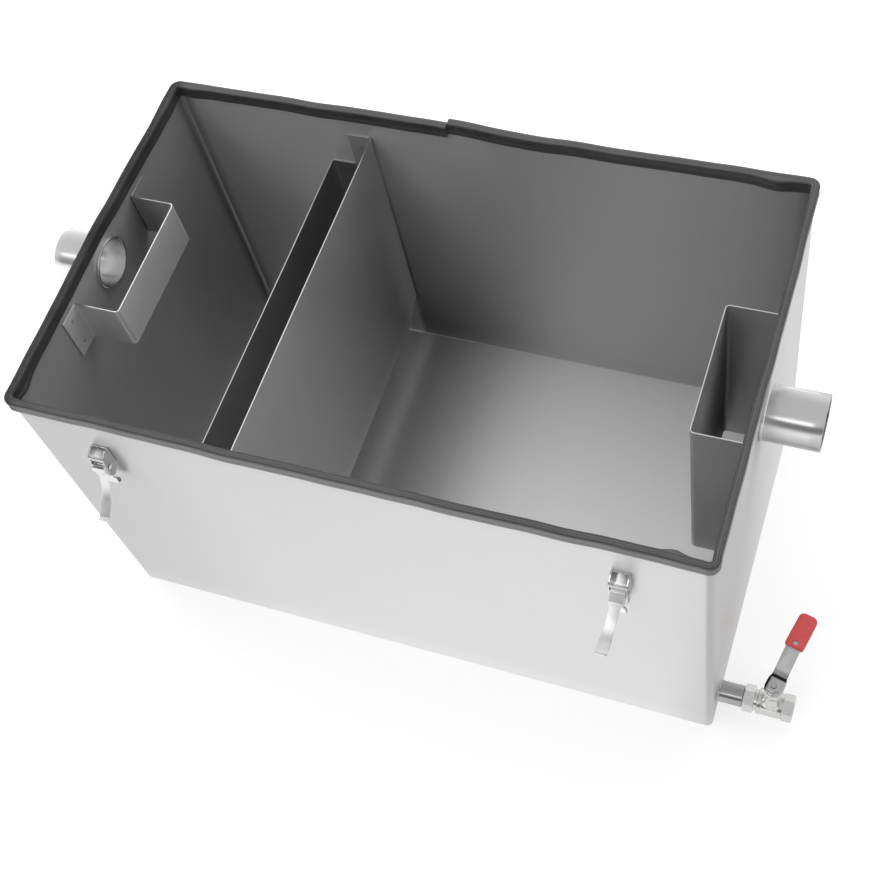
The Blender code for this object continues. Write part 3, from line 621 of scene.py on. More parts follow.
def turnedShell(stations, origin, axis, columns=96, turnFrom=0.0, closed=True, shape=None):
    # A turned or hexagon bar. Each station is (place along the axis, radius), with its flats too on a hexagon.
    # p(i, angle) = origin + axis * place(i) + radial(angle) * r(i, angle). Where there are no flats the radius is
    # round, otherwise r is the smaller of the radius and half the flats over the cosine of the angle from the
    # middle of the nearest flat, which gives the curved chamfer of a turned hexagon.
    place, radius, flats = np.array([(*station, 0)[:3] for station in stations], float).T[..., None]
    axis = np.asarray(axis, float)
    angle = np.arange(columns) / columns * fullTurn
    fold = (angle + math.pi / 6) % (math.pi / 3) - math.pi / 6
    r = np.where(flats > 0, np.minimum(flats * (0.5 / np.cos(fold)), radius), radius)
    if shape:
        r = r + shape(angle)
    first = np.cross((0, 0, 1.0) if abs(axis[2]) < 0.9 else (1.0, 0, 0), axis)
    first /= np.linalg.norm(first)
    angle = (angle + turnFrom)[:, None]
    radial = np.cos(angle) * first + np.sin(angle) * np.cross(axis, first)
    return gridShell(origin + place[..., None] * axis + r[..., None] * radial, closed)


def rod(origin, axis, start, end, radius, columns=28):
    # a plain cylinder
    return turnedShell([(start, radius), (end, radius)], origin, axis, columns, closed=False)


def placed(shells, matrix, origin):
    # turns shells drawn at a pivot and moves them to their place
    return [dict(shell, points=shell["points"] @ matrix.T + origin) for shell in shells]


def turnZ(degrees):
    c, s = math.cos(math.radians(degrees)), math.sin(math.radians(degrees))
    return np.array(((c, -s, 0), (s, c, 0), (0, 0, 1)))


def turnX(degrees):
    c, s = math.cos(math.radians(degrees)), math.sin(math.radians(degrees))
    return np.array(((1, 0, 0), (0, c, -s), (0, s, c)))


def ease(value, start, end):
    # goes smoothly from 0 at the start to 1 at the end: 3 t^2 - 2 t^3
    t = np.clip((value - start) / (end - start), 0, 1)
    return t * t * (3 - 2 * t)


def bulge(s, place, width, depth):
    # a bell of the given depth at a place along the strip
    return depth * np.exp(-((s - place) / width) ** 2)


def arch(s, start, run):
    # rises from 0 to 1 and falls again along a run: sin(pi t)^2
    return np.sin(math.pi * np.clip((s - start) / run, 0, 1)) ** 2


def waves(s, parts):
    # the sum of size * sin(s * rate + phase)
    return sum(size * np.sin(s * rate + phase) for rate, phase, size in parts)


# Tank body: each hole is its place and its radius
tank = {
    "length": 0.600,
    "width": 0.358,
    "height": 0.3585,
    "gauge": 0.0015,
    "bend": 0.0060,
    "ripple": 0.00030,
    "spacing": 0.04,
    "holes": ((-0.300, -0.004, 0.321, 0.0243), (0.300, -0.004, 0.290, 0.0243), (0.300, -0.151, 0.025, 0.0105)),
    "holeReach": 0.004,
    "floorEdge": 0.0003,
}
innerX = tank["length"] / 2 - tank["gauge"]
innerY = tank["width"] / 2 - tank["gauge"]


def wallRipple(s, z):
    # slow waves of a flat sheet, which die away at the rim, the floor and the bends
    rise = np.sin(s * 9.0 + 1.3) * np.sin(z * 11.0 + 0.4) + 0.6 * np.sin(s * 23.0 + z * 8.0)
    return tank["ripple"] * arch(z, 0, tank["height"]) * rise


def buildTank():
    gauge, reach = tank["gauge"], tank["holeReach"]
    x, y = innerX + gauge / 2, innerY + gauge / 2
    line = bentLine([(-x, -y), (x, -y), (x, y), (-x, y)], [tank["bend"] - gauge / 2] * 4, tank["spacing"], 8, 0.0012,
                    True)
    sheet = bentSheet(line, gauge, 0.0, tank["height"], 0.03, True, wallRipple)
    walls = makePiece("tankWalls", [sheet], wallSteel)
    cutAway(walls, [rod(hole[:3], alongX, -reach, reach, hole[3], 64) for hole in tank["holes"]])
    shadeRound(walls.data)
    dress(walls, "trap", "stainless_steel", "tank_walls")


def buildFloorSheet():
    # The floor sheet: a flat rounded section across the tank, carried along X, which is shorter where it runs
    # into the round corners: half(x) = width / 2 - r + sqrt(r^2 - d^2), d being the way into the corner.
    gauge, edge = tank["gauge"], tank["floorEdge"]
    halfX, halfY = innerX - seatGap, innerY - seatGap
    r = tank["bend"] - gauge - seatGap
    end = halfX - r + r * np.cos(np.linspace(0, quarterTurn, 9))
    x = np.concatenate((-end, np.linspace(-halfX + r, halfX - r, 15)[1:-1], end[::-1]))
    d = np.clip(np.abs(x) - (halfX - r), 0, r)
    half = halfY - r + np.maximum(np.sqrt(np.clip(r * r - d * d, 0, None)), 0.0002)
    up = np.array((edge, gauge - edge, gauge, gauge, gauge - edge, edge, 0, 0))
    rim = np.array((0, 0, -edge, -edge, 0, 0, -edge, -edge))
    side = np.array((-1, -1, -1, 1, 1, 1, 1, -1))
    piece = makePiece("tankFloor", [surface(x[:, None], side * (half[:, None] + rim), up)], floorSteel)
    dress(piece, "trap", "stainless_steel", "tank_floor")


buildTank()
buildFloorSheet()
print("tank walls and floor made")

# Rubber edge trim: a wave is (rate, phase, size), and a puff is (corner, way past it, width, depth)
trim = {
    "legThickness": 0.0033,
    "height": 0.0130,
    "crown": 0.0025,
    "jointX": -0.0255,
    "jointGap": 0.0008,
    "spacing": 0.0026,
    "wander": 0.0006,
    "driftWaves": ((31, 0.7, 0.5), (67, 2.1, 0.35), (131, 0.3, 0.2)),
    "lift": 0.00015,
    "liftWaves": ((43, 1.0, 0.00015), (89, 0.0, 0.00025)),
    "flare": 0.0005,
    "flareWaves": ((21, 0.5, 0.0005),),
    "slimFront": 0.0019,
    "slimSide": 0.0005,
    "bowLeft": 0.0022,
    "bowFront": 0.0007,
    "sag": 0.0012,
    "puffs": (("frontRight", -0.034, 0.008, 0.0028), ("backRight", 0.022, 0.013, 0.0026),
              ("backLeft", -0.020, 0.010, 0.0014), ("backLeft", 0.024, 0.012, 0.0012)),
}


def trimSection():
    # The trim's section, from the outer leg's inside edge down, round the outside, over the crown and back:
    # the legs are slightly hollow between two beads, and the crown is a flattened arch with three low ribs.
    slot = tank["gauge"] / 2 + 0.0002
    out = slot + trim["legThickness"]
    top, low = trim["crown"], trim["crown"] - trim["height"]
    lip, shoulder = 0.0016, 0.0020
    t = np.linspace(0, 1, 15)
    legX = out - 0.00045 * np.sin(math.pi * t) ** 2 - bulge(t, 0.42, 0.07, 0.0003)
    legZ = low + lip + t * (top - shoulder - (low + lip))
    turn = np.linspace(math.pi, fullTurn, 7)[1:-1]
    lipX, lipZ = (slot + out) / 2 + (out - slot) / 2 * np.cos(turn), low + lip + lip * np.sin(turn)
    turn = np.linspace(0, quarterTurn, 7)[1:]
    shoulderX, shoulderZ = out - shoulder + shoulder * np.cos(turn), top - shoulder + shoulder * np.sin(turn)
    crownX = np.linspace(shoulderX[-1], 0, 8)[1:]
    crownZ = top + 0.00010 - 0.00022 * np.cos(crownX / 0.0011 * math.pi)
    half = np.stack((np.concatenate(([slot, slot], lipX, legX, shoulderX, crownX)),
                     np.concatenate(([0, low + lip], lipZ, legZ, shoulderZ, crownZ))), -1)
    return np.concatenate((half, half[-2::-1] * (-1, 1)))


def buildTrim():
    # The strip's surface: its section is carried along the rim, p(s, t) = line(s) + outside(s) * across(s, t)
    # + up(s, t), where both are the section's own plus the drift, lift, puffs, flare and sag.
    halfGauge = tank["gauge"] / 2
    x, y = innerX + halfGauge, innerY + halfGauge
    gap, radius = trim["jointGap"] / 2, tank["bend"] - halfGauge
    corners = [(trim["jointX"] - gap, y), (-x, y), (-x, -y), (x, -y), (x, y), (trim["jointX"] + gap, y)]
    line = bentLine(corners, [0, radius, radius, radius, radius, 0], trim["spacing"] * coarse, 12, 0.0008)
    s, right, mitre = lineSides(line)
    outside = -right if right[5, 1] < 0 else right
    total = s[-1]
    corner = dict(zip(("backLeft", "frontLeft", "frontRight", "backRight"),
                      np.cumsum((x + trim["jointX"], 2 * y, 2 * x, 2 * y))))
    frontLeft, backRight = corner["frontLeft"], corner["backRight"]
    calm = 1 - bulge(np.minimum(s, total - s), 0, 0.02, 0.3)
    drift = trim["wander"] * calm * waves(s, trim["driftWaves"])
    # the strip stands up and out at its joint
    lift = trim["lift"] + waves(s, trim["liftWaves"]) + bulge(s, total, 0.035, 0.0026) + bulge(s, 0, 0.03, 0.0002)
    drift = drift + bulge(s, total, 0.035, 0.0020) - bulge(s, 0, 0.03, 0.0012)
    # the strip bows out along the left and front runs, and is pulled tight round the front corners
    drift = drift + trim["bowLeft"] * arch(s, corner["backLeft"], 2 * y)
    drift = drift + trim["bowFront"] * arch(s, frontLeft, 2 * x)
    drift = drift + bulge(s, corner["frontRight"] - 0.0056, 0.0045, 0.0010)
    puff = sum(bulge(s, corner[name] + past, width, depth) for name, past, width, depth in trim["puffs"])
    front = ease(s, frontLeft - 0.004, frontLeft + 0.012) * ease(s, backRight - 0.006, backRight - 0.030)
    slim = trim["slimSide"] + (trim["slimFront"] - trim["slimSide"]) * front
    # the inner leg flares a little and its lower edge waves
    flare = trim["flare"] + waves(s, trim["flareWaves"]) + bulge(s, frontLeft - 0.020, 0.011, 0.0036)
    sag = arch(s, frontLeft, 2 * x) * trim["sag"]
    sectionX, sectionZ = trimSection().T
    inner, outer = (np.clip((way * sectionX - halfGauge) / trim["legThickness"], 0, 1) for way in (-1, 1))
    drop = np.clip(-sectionZ / trim["height"], 0, 1)
    across = sectionX + drift[:, None] + inner * (slim - puff)[:, None] - inner * drop * flare[:, None]
    inSlot = (np.abs(sectionX) < halfGauge + 0.0004) & (sectionZ <= 0)
    across = np.where(inSlot, sectionX, across)
    up = tank["height"] + sectionZ + lift[:, None] - outer * drop * sag[:, None]
    piece = makePiece("edgeTrim", [surface(*beside(line, outside, across), up)], rubber, 50)
    dress(piece, "trap", "black_rubber", "rim_gasket")


buildTrim()
print("edge trim made")

# Baffle plates
baffles = {
    "gauge": 0.0012,
    "bend": 0.0022,
    "weirX": -0.1535,
    "weirTop": 0.287,
    "channel": 0.048,
    "spacing": 0.0014,
    "underflowTop": 0.328,
    "underflowBottom": 0.060,
    "cornerRise": 0.019,
    "cornerRun": 0.030,
    "floorTop": 0.0018,
    "ripple": 0.00035,
}


def plateRipple(phase):
    # slow waves that die away at the flanges
    def ripple(s, z):
        middle = np.clip(np.abs(s - s.max() / 2) / (s.max() / 2), 0, 1)
        return baffles["ripple"] * (1 - middle ** 4) * (np.sin(z * 10 + phase) + 0.5 * np.sin(s * 16 + z * 7 + phase))
    return ripple


def buildBaffles():
    gauge, bend, underX = baffles["gauge"], baffles["bend"], baffles["weirX"] + baffles["channel"]
    flat = innerY - seatGap - gauge / 2
    flange = (baffles["channel"] - baffles["spacing"]) / 2
    for name, node, x, side, top, phase, steel in (
            ("weirPlate", "weir_plate", baffles["weirX"], 1, baffles["weirTop"], 0.3, uprightSteel),
            ("underflowPlate", "underflow_plate", underX, -1, baffles["underflowTop"], 1.9, plateSteel)):
        tip = x + side * flange
        line = bentLine([(tip, flat), (x, flat), (x, -flat), (tip, -flat)], [0, bend, bend, 0], 0.012, 6, 0.0006)
        low = baffles["floorTop"]
        if side < 0:
            run = np.clip(np.abs(line[:, 1]) - (innerY - baffles["cornerRun"]), 0, None)
            low = baffles["underflowBottom"] + run * baffles["cornerRise"] / baffles["cornerRun"]
        piece = makePiece(name, [bentSheet(line, gauge, low, top, 0.02, False, plateRipple(phase))], steel)
        dress(piece, "trap", "stainless_steel", node)


buildBaffles()
print("baffle plates made")

# Deflector boxes
boxes = {
    "gauge": 0.0012,
    "bend": 0.0034,
    "width": 0.123,
    "depth": 0.0455,
    "middleY": -0.0045,
    "top": 0.3415,
    "flange": 0.0235,
    "inletBottom": 0.291,
    "outletBottom": 0.138,
}


def buildBoxes():
    gauge, bend, y = boxes["gauge"], boxes["bend"], boxes["middleY"]
    half = boxes["width"] / 2 - gauge / 2
    wide, small = half + boxes["flange"], gauge * 1.1
    for name, node, side, low in (("inletBox", "inlet_box", -1, boxes["inletBottom"]),
                                  ("outletBox", "outlet_box", 1, boxes["outletBottom"])):
        flat = side * (innerX - seatGap - gauge / 2)
        front = side * (innerX - boxes["depth"] + gauge / 2)
        corners = [(flat, y - wide), (flat, y - half), (front, y - half), (front, y + half), (flat, y + half),
                   (flat, y + wide)]
        line = bentLine(corners, [0, small, bend, bend, small, 0], 0.010, 8, 0.0005)
        piece = makePiece(name, [bentSheet(line, gauge, low, boxes["top"], 0.02)], boxSteel)
        dress(piece, "trap", "stainless_steel", node)


buildBoxes()
print("deflector boxes made")

# Pipe stubs: each end is (height, reach, angle of the seam)
stubs = {
    "radius": 0.0240,
    "wall": 0.0020,
    "middleY": -0.004,
    "inside": 0.0045,
    "inlet": (0.321, 0.042, 2.2),
    "outlet": (0.290, 0.049, 1.0),
    "edge": 0.0004,
    "ringAt": 0.0014,
    "ringRise": 0.0009,
    "seam": 0.00022,
    "seamWidth": 0.035,
}


def buildStubs():
    # A tube's profile, turned round its axis: out along the outside over the weld ring, and back along the bore.
    # Its seam is a low bead, a bell of the angle.
    radius, ring, edge, inside = stubs["radius"], stubs["ringAt"], stubs["edge"], stubs["inside"]
    bore, little = radius - stubs["wall"], edge * 0.3
    for name, node, side, (z, reach, seamAt) in (("inletStub", "inlet_pipe", -1, stubs["inlet"]),
                                                 ("outletStub", "outlet_pipe", 1, stubs["outlet"])):
        stations = [(-inside, radius - edge), (-inside + edge, radius)]
        stations += [(ring + b, radius + stubs["ringRise"] * max(0.0, math.cos(b / 0.0014 * quarterTurn)) ** 0.7)
                     for b in np.linspace(-0.0013, 0.0014, 9)]
        stations += [(p, radius) for p in np.linspace(ring + 0.0014, reach - edge, 6)[1:]]
        stations += [(reach - little, radius - little), (reach, radius - edge), (reach, bore + edge),
                     (reach - little, bore + little)]
        stations += [(p, bore) for p in np.linspace(reach - edge, -inside + edge, 7)]
        stations += [(-inside, bore + edge)]

        def seam(angle):
            return bulge((angle - seamAt + math.pi) % fullTurn, math.pi, stubs["seamWidth"], stubs["seam"])

        shell = turnedShell(stations, (side * tank["length"] / 2, stubs["middleY"], z), (side, 0, 0), 128, shape=seam)
        dress(makePiece(name, [shell], tubeSteel), "trap", "stainless_steel", node)


buildStubs()
print("pipe stubs made")

# Drain valve: each nut is (node, body, slot, material, low, top, flats, bore, turn)
valve = {
    "y": -0.151,
    "z": 0.025,
    "edge": 0.0005,
    "socketRadius": 0.0102,
    "socketBore": 0.0065,
    "socketReach": 0.0228,
    "threadRadius": 0.0086,
    "threadDepth": 0.0115,
    "capStart": 0.3231,
    "capThread": 0.0105,
    "hexFlats": 0.0222,
    "hexLength": 0.0102,
    "hexChamfer": 0.0014,
    "hexTurn": -0.157,
    "neckLength": 0.0024,
    "neckRadius": 0.0098,
    "bodyStart": 0.3357,
    "bodyEnd": 0.3687,
    "bodyRadius": 0.0121,
    "chamber": 0.0104,
    "grooveAt": 0.0180,
    "bore": 0.0065,
    "mouthDepth": 0.0080,
    "ridge": 0.0005,
    "stemX": 0.3486,
    "stemBore": 0.0036,
    "bonnetRadius": 0.0084,
    "bonnetTop": 0.0560,
    "leverZ": 0.0646,
    "leverAngle": -13.4,
}
nuts = {
    "glandNut": ("packing_nut", "trap", "nickelled_brass", nickel, 0.0563, 0.0643, 0.0160, 0.0036, 0.2),
    "leverNut": ("lever_nut", "valve_handle", "plated_steel", leverSteel, 0.0674, 0.0719, 0.0100, 0.0025, 0.5),
}
leverPlate = {
    "gauge": 0.0025,
    "width": 0.0136,
    "root": 0.0064,
    "rootWidth": 0.0168,
    "step": 0.0108,
    "run": 0.0260,
    "rise": 0.0115,
    "reach": 0.0715,
    "bend": 0.0028,
    "square": 0.0046,
}
grip = {
    "start": 0.0378,
    "end": 0.0730,
    "width": 0.0174,
    "thickness": 0.0056,
    "corner": 0.0050,
    "edge": 0.0017,
    "soft": 0.0016,
    "holeAt": 0.0432,
    "holeRadius": 0.0026,
}
stemPlace = (valve["stemX"], valve["y"], 0)


def buildSocket():
    start, end, edge = -0.0045, valve["socketReach"], valve["edge"]
    outer, thread, bore = valve["socketRadius"], valve["threadRadius"], valve["socketBore"]
    deep = end - valve["threadDepth"]
    stations = [(start, outer), (-0.0001, outer)]
    stations += [(p, outer + 0.0011 * math.cos(p / 0.0016 * quarterTurn)) for p in np.linspace(0.0, 0.0016, 5)]
    stations += [(0.004, outer), (end - edge, outer), (end, outer - edge), (end, thread + edge),
                 (end - edge, thread), (deep, thread), (deep - 0.001, bore), (start, bore)]
    shell = turnedShell(stations, (tank["length"] / 2, valve["y"], valve["z"]), alongX)
    dress(makePiece("drainSocket", [shell], tubeSteel), "trap", "stainless_steel", "drain_socket")


def hexStations(start, length, flats, chamfer):
    # the corners of a hexagon bar are turned down at both ends
    half = flats / 2
    rise = half / math.cos(math.pi / 6) - half + 0.0003
    low = [(start + chamfer * t, half - 0.0002 + rise * math.sin(t * quarterTurn), flats)
           for t in np.linspace(0, 1, 5)]
    return low + [(2 * start + length - p, r, f) for p, r, f in low[::-1]]


def buildValveCap():
    start, length, thread, neck = valve["capStart"], valve["hexLength"], valve["threadRadius"], valve["neckRadius"]
    back, tail = start - valve["capThread"], start + length + valve["neckLength"]
    stations = [(back, thread - 0.0006), (start, thread - 0.0003)]
    stations += hexStations(start, length, valve["hexFlats"], valve["hexChamfer"])
    stations += [(start + length, neck), (tail - 0.0003, neck), (tail - 0.0003, 0.0101), (tail + 0.0035, 0.0101),
                 (tail + 0.0035, valve["bore"]), (back, valve["bore"])]
    shell = turnedShell(stations, (0, valve["y"], valve["z"]), alongX, turnFrom=valve["hexTurn"])
    dress(makePiece("valveCap", [shell], nickel, 34, 0.0002), "trap", "nickelled_brass", "valve_end_cap")


def buildValveBody():
    start, end, radius, z = valve["bodyStart"], valve["bodyEnd"], valve["bodyRadius"], valve["z"]
    bore, chamber, mouth = valve["bore"], valve["chamber"], valve["threadRadius"]
    groove, hexStart = start + valve["grooveAt"], end - valve["hexLength"]
    inner, shoulder = end - valve["mouthDepth"], valve["stemX"] + 0.0092
    stations = [(start, radius - 0.0008), (start + 0.0008, radius), (start + 0.0042, radius),
                (start + 0.0048, radius - 0.0004), (start + 0.0060, radius - 0.0002), (groove - 0.0008, radius),
                (groove, radius - 0.0006), (groove + 0.0008, radius), (hexStart, radius - 0.0004)]
    stations += hexStations(hexStart, valve["hexLength"], valve["hexFlats"], valve["hexChamfer"])
    stations += [(p, mouth - valve["ridge"] * (k % 2)) for k, p in enumerate(np.linspace(end, inner, 25))]
    stations += [(inner - 0.0003, bore), (shoulder, bore), (shoulder, chamber), (start, chamber)]
    shell = turnedShell(stations, (0, valve["y"], z), alongX, turnFrom=valve["hexTurn"])
    piece = makePiece("valveBody", [shell], nickel)
    top, neck = valve["bonnetTop"], valve["bonnetRadius"]
    bonnet = [(z + 0.0108, chamber), (z + 0.0125, 0.0098), (z + 0.0150, 0.0088), (z + 0.0175, neck),
              (top - 0.0006, neck), (top, neck - 0.0006)]
    cutAway(piece, [turnedShell(bonnet, stemPlace, alongZ, 64, closed=False)], "UNION")
    cutAway(piece, [rod(stemPlace, alongZ, z + 0.004, top + 0.001, valve["stemBore"], 32)])
    bevelEdges(piece, 0.0002, 2, 34)
    dress(piece, "trap", "nickelled_brass", "valve_body")


def buildNut(name, node, body, slotName, material, low, top, flats, bore, turn):
    stations = hexStations(low, top - low, flats, (top - low) * 0.16) + [(top, bore), (low, bore)]
    shell = turnedShell(stations, stemPlace, alongZ, turnFrom=turn)
    dress(makePiece(name, [shell], material, 34, 0.0002), body, slotName, node)


def buildLever(matrix):
    # The lever's strip: a rounded section carried along the cranked line in the upright plane.
    # Its half width is wide round the stem and narrows after the first bend; both ends are round in plan.
    w, z = leverPlate, valve["leverZ"]
    middle = z + w["gauge"] / 2
    corners = [(-w["root"], middle), (w["step"], middle), (w["step"] + w["run"], middle + w["rise"]),
               (w["reach"], middle + w["rise"])]
    line = bentLine(corners, [0, w["bend"], w["bend"], 0], 0.0012, 8, 0.0004)
    s = lineSides(line)[0]
    narrow = 1 / (1 + np.exp(-(s - w["root"] - w["step"] * 0.95) / 0.0011))
    half = w["rootWidth"] / 2 * (1 - narrow) + w["width"] / 2 * narrow
    for away, reach, share in ((s, w["rootWidth"] * 0.42, 0.72), (s[-1] - s, w["width"] * 0.45, 0.8)):
        half = half * np.sqrt(1 - share * np.clip(1 - away / reach, 0, 1) ** 2)
    piece = makePiece("leverPlate", placed([stripShell(line, half, w["gauge"], 0.16, False)], matrix, stemPlace),
                      bentSteel)
    hole = w["square"] / 2 + 0.0003
    square = np.array([[(x * hole, y * hole, level) for x, y in ((1, 1), (-1, 1), (-1, -1), (1, -1))]
                       for level in (z - 0.002, z + w["gauge"] + 0.002)])
    cutAway(piece, placed([gridShell(square)], matrix, stemPlace))
    shadeRound(piece.data)
    dress(piece, "valve_handle", "plated_steel", "valve_lever")


def buildGrip(matrix):
    # The dipped sleeve: rounded sections along the lever whose half width and half thickness follow a
    # superellipse at both ends, so the ends are round in plan and soft in section.
    length, soft, edge = grip["end"] - grip["start"], grip["soft"], grip["edge"]
    t = np.concatenate((np.linspace(0, 0.16, 14), np.linspace(0.16, 0.84, 22)[1:-1], np.linspace(0.84, 1, 18)))
    fromEnd = np.minimum(t, 1 - t) * length
    corner = np.where(t < 0.5, grip["corner"] * 0.62, grip["corner"])
    roundPlan, roundEdge = (1 - np.sqrt(1 - np.clip(1 - fromEnd / size, 0, 1) ** 2) for size in (corner, soft))
    half = (grip["width"] / 2 - corner * roundPlan) * (1 + 0.015 * np.sin(t * 5))
    thick = (grip["thickness"] / 2 - soft * 0.8 * roundEdge)[:, None]
    across, up = roundedSection(half, thick, edge, edge * 0.9, 5)
    up = up * (1 + 0.05 * np.cos(np.clip(across / half[:, None], -1, 1) * quarterTurn))
    z = valve["leverZ"] + leverPlate["rise"]
    sleeve = surface(across, grip["start"] + t[:, None] * length, z + leverPlate["gauge"] / 2 + up)
    piece = makePiece("leverGrip", placed([sleeve], matrix, stemPlace), redVinyl, 50)
    hole = rod((0, grip["holeAt"], 0), alongZ, z - 0.01, z + 0.02, grip["holeRadius"], 40)
    cutAway(piece, placed([hole], matrix, stemPlace))
    bevelEdges(piece, 0.0005, 3, 50)
    dress(piece, "valve_handle", "red_vinyl", "lever_sleeve")


buildSocket()
buildValveCap()
buildValveBody()
for name, values in nuts.items():
    buildNut(name, *values)
buildLever(turnZ(valve["leverAngle"]))
buildGrip(turnZ(valve["leverAngle"]))
print("drain valve made")

# Lid latches: drawn at the lever's pivot as (across, out to the wall, up), with the lever hanging down
latch = {
    "x": 0.229,
    "z": 0.294,
    "fromMiddle": 0.1885,
    "width": 0.0156,
    "gauge": 0.0012,
    "back": 0.0092,
    "earTop": 0.0180,
    "earLow": -0.0142,
    "cheekOut": 0.0062,
    "cheekGauge": 0.0010,
    "rootLength": 0.0118,
    "tongue": 0.0088,
    "tongueEnd": 0.0102,
    "sweep": 0.040,
    "clawIn": 0.0016,
    "clawDrop": 0.0076,
    "clawWidth": 0.0128,
    "clawNeck": 0.0092,
    "clawNeckLength": 0.0110,
    "clawLength": 0.0220,
    "pin": 0.0015,
    "pinHead": 0.0023,
    "clawPin": 0.0011,
    "pinEdge": 0.0002,
    "earHole": 0.0018,
    "knuckle": 0.0022,
}
latchPlaces = {"front_left": (-1, -1, 22.0), "front_right": (1, -1, 76.0), "back_left": (-1, 1, 20.0),
               "back_right": (1, 1, 20.0)}
pivot = (0, 0, 0)
clawHole = latch["clawPin"] + 0.0003


def roundTip(s, reach, depth):
    # how much the half width shrinks over the last reach of a strip, which rounds its end in plan
    fromEnd = np.clip(1 - (s[-1] - s) / reach, 0, 1)
    return depth * (1 - np.sqrt(1 - fromEnd ** 2 * 0.96))


def latchBaseShells():
    back, gauge, half = latch["back"], latch["gauge"], latch["width"] / 2
    top, low, foot = latch["earTop"], latch["earLow"], -0.0070
    middle = back - gauge / 2
    ear = bentLine([(middle, top - 0.001), (middle - 0.0042, top), (-0.0030, 0.0130), (-0.0048, -0.0080),
                    (-0.0010, low), (0.0042, -0.0115), (middle, foot)],
                   [0, 0.002, 0.006, 0.004, 0.0025, 0.004, 0], 0.002, 6, 0.0003, True)
    plate = bentLine([(back - gauge, foot), (back, foot), (back, top - 0.001), (back - gauge, top - 0.001)],
                     [0.0002] * 4, 0.004, 2, 0.0001, True)
    bridge = rod((0, -0.0022, 0.0118), alongX, -half + gauge / 2, half - gauge / 2, 0.0011, 20)
    return [plateShell(plate, -half + 0.0001, half - 0.0001), plateShell(ear, half - gauge, half),
            plateShell(ear, -half, -half + gauge), bridge]


def latchPinShell():
    # a rivet: its domed heads follow a quarter circle
    face = latch["width"] / 2 + 0.0003
    head = [(face + 0.0008 * math.sin(t), latch["pinHead"] * (0.45 + 0.55 * math.cos(t)))
            for t in np.linspace(0, quarterTurn, 6)]
    stations = [(-p, r) for p, r in head[::-1]] + [(-face, latch["pin"]), (face, latch["pin"])] + head
    return turnedShell(stations, pivot, alongX, 32, closed=False)


def latchLeverShell():
    # the strip steps in past the pins, sweeps outwards and ends in a rolled finger lip
    line = bentLine([(-0.0066, 0.0012), (-0.0066, -0.0024), (-0.0012, -0.0098), (-0.0012, -0.0300),
                     (-0.0122, -0.0516), (-0.0156, -0.0524)],
                    [0, 0.002, 0.006, latch["sweep"], 0.0014, 0], 0.0012, 14, 0.0004)
    down, root = -line[:, 1], latch["rootLength"]
    half = latch["cheekOut"] + (latch["tongue"] / 2 - latch["cheekOut"]) * ease(down, root - 0.0004, root + 0.0008)
    half = half + (latch["tongueEnd"] - latch["tongue"]) / 2 * ease(down, 0.0340, 0.0420)
    return stripShell(line, half - roundTip(lineSides(line)[0], 0.0016, 0.0012), latch["gauge"])


def latchCheeks():
    out, inset, drop, wide = -0.0012, latch["clawIn"], latch["clawDrop"], latch["cheekOut"]
    outline = bentLine([(-0.0066, 0.0012), (-0.0010, 0.0042), (inset + 0.00324, -drop + 0.0008),
                        (inset + 0.0005, -drop - 0.0036), (out, -latch["rootLength"]), (out, -0.0098),
                        (-0.0066, -0.0024)], [0.0004, 0.003, 0.003, 0.003, 0.0004, 0.0004, 0.0004],
                       0.002, 6, 0.0002, True)
    thin = wide - latch["cheekGauge"]
    return [plateShell(outline, low, high, 0.0001) for low, high in ((-wide, -thin), (thin, wide))]


def latchClawShells():
    # a strip with a narrow neck and a wider, rounded hook, and the knuckle rolled at its top
    drop, neck, neckLength = latch["clawLength"], latch["clawNeck"] / 2, latch["clawNeckLength"]
    line = bentLine([(0, -0.0017), (0, -drop), (0.0058, -drop - 0.0006)], [0, 0.0026, 0], 0.001, 10, 0.0003)
    wide = ease(-line[:, 1], neckLength - 0.0006, neckLength + 0.0010)
    half = neck * (1 - wide) + latch["clawWidth"] / 2 * wide - roundTip(lineSides(line)[0], 0.0034, 0.0032)
    across, inner, outer = neck - 0.00015, clawHole, latch["knuckle"]
    knuckle = turnedShell([(-across, outer), (across, outer), (across, inner), (-across, inner)], pivot, alongX, 28)
    return [stripShell(line, half, latch["gauge"]), knuckle]


def clawPinShell():
    reach, edge, pin = latch["cheekOut"], latch["pinEdge"], latch["clawPin"]
    stations = [(-reach, pin - edge), (-reach + edge, pin), (reach - edge, pin), (reach, pin - edge)]
    return turnedShell(stations, pivot, alongX, 28, closed=False)


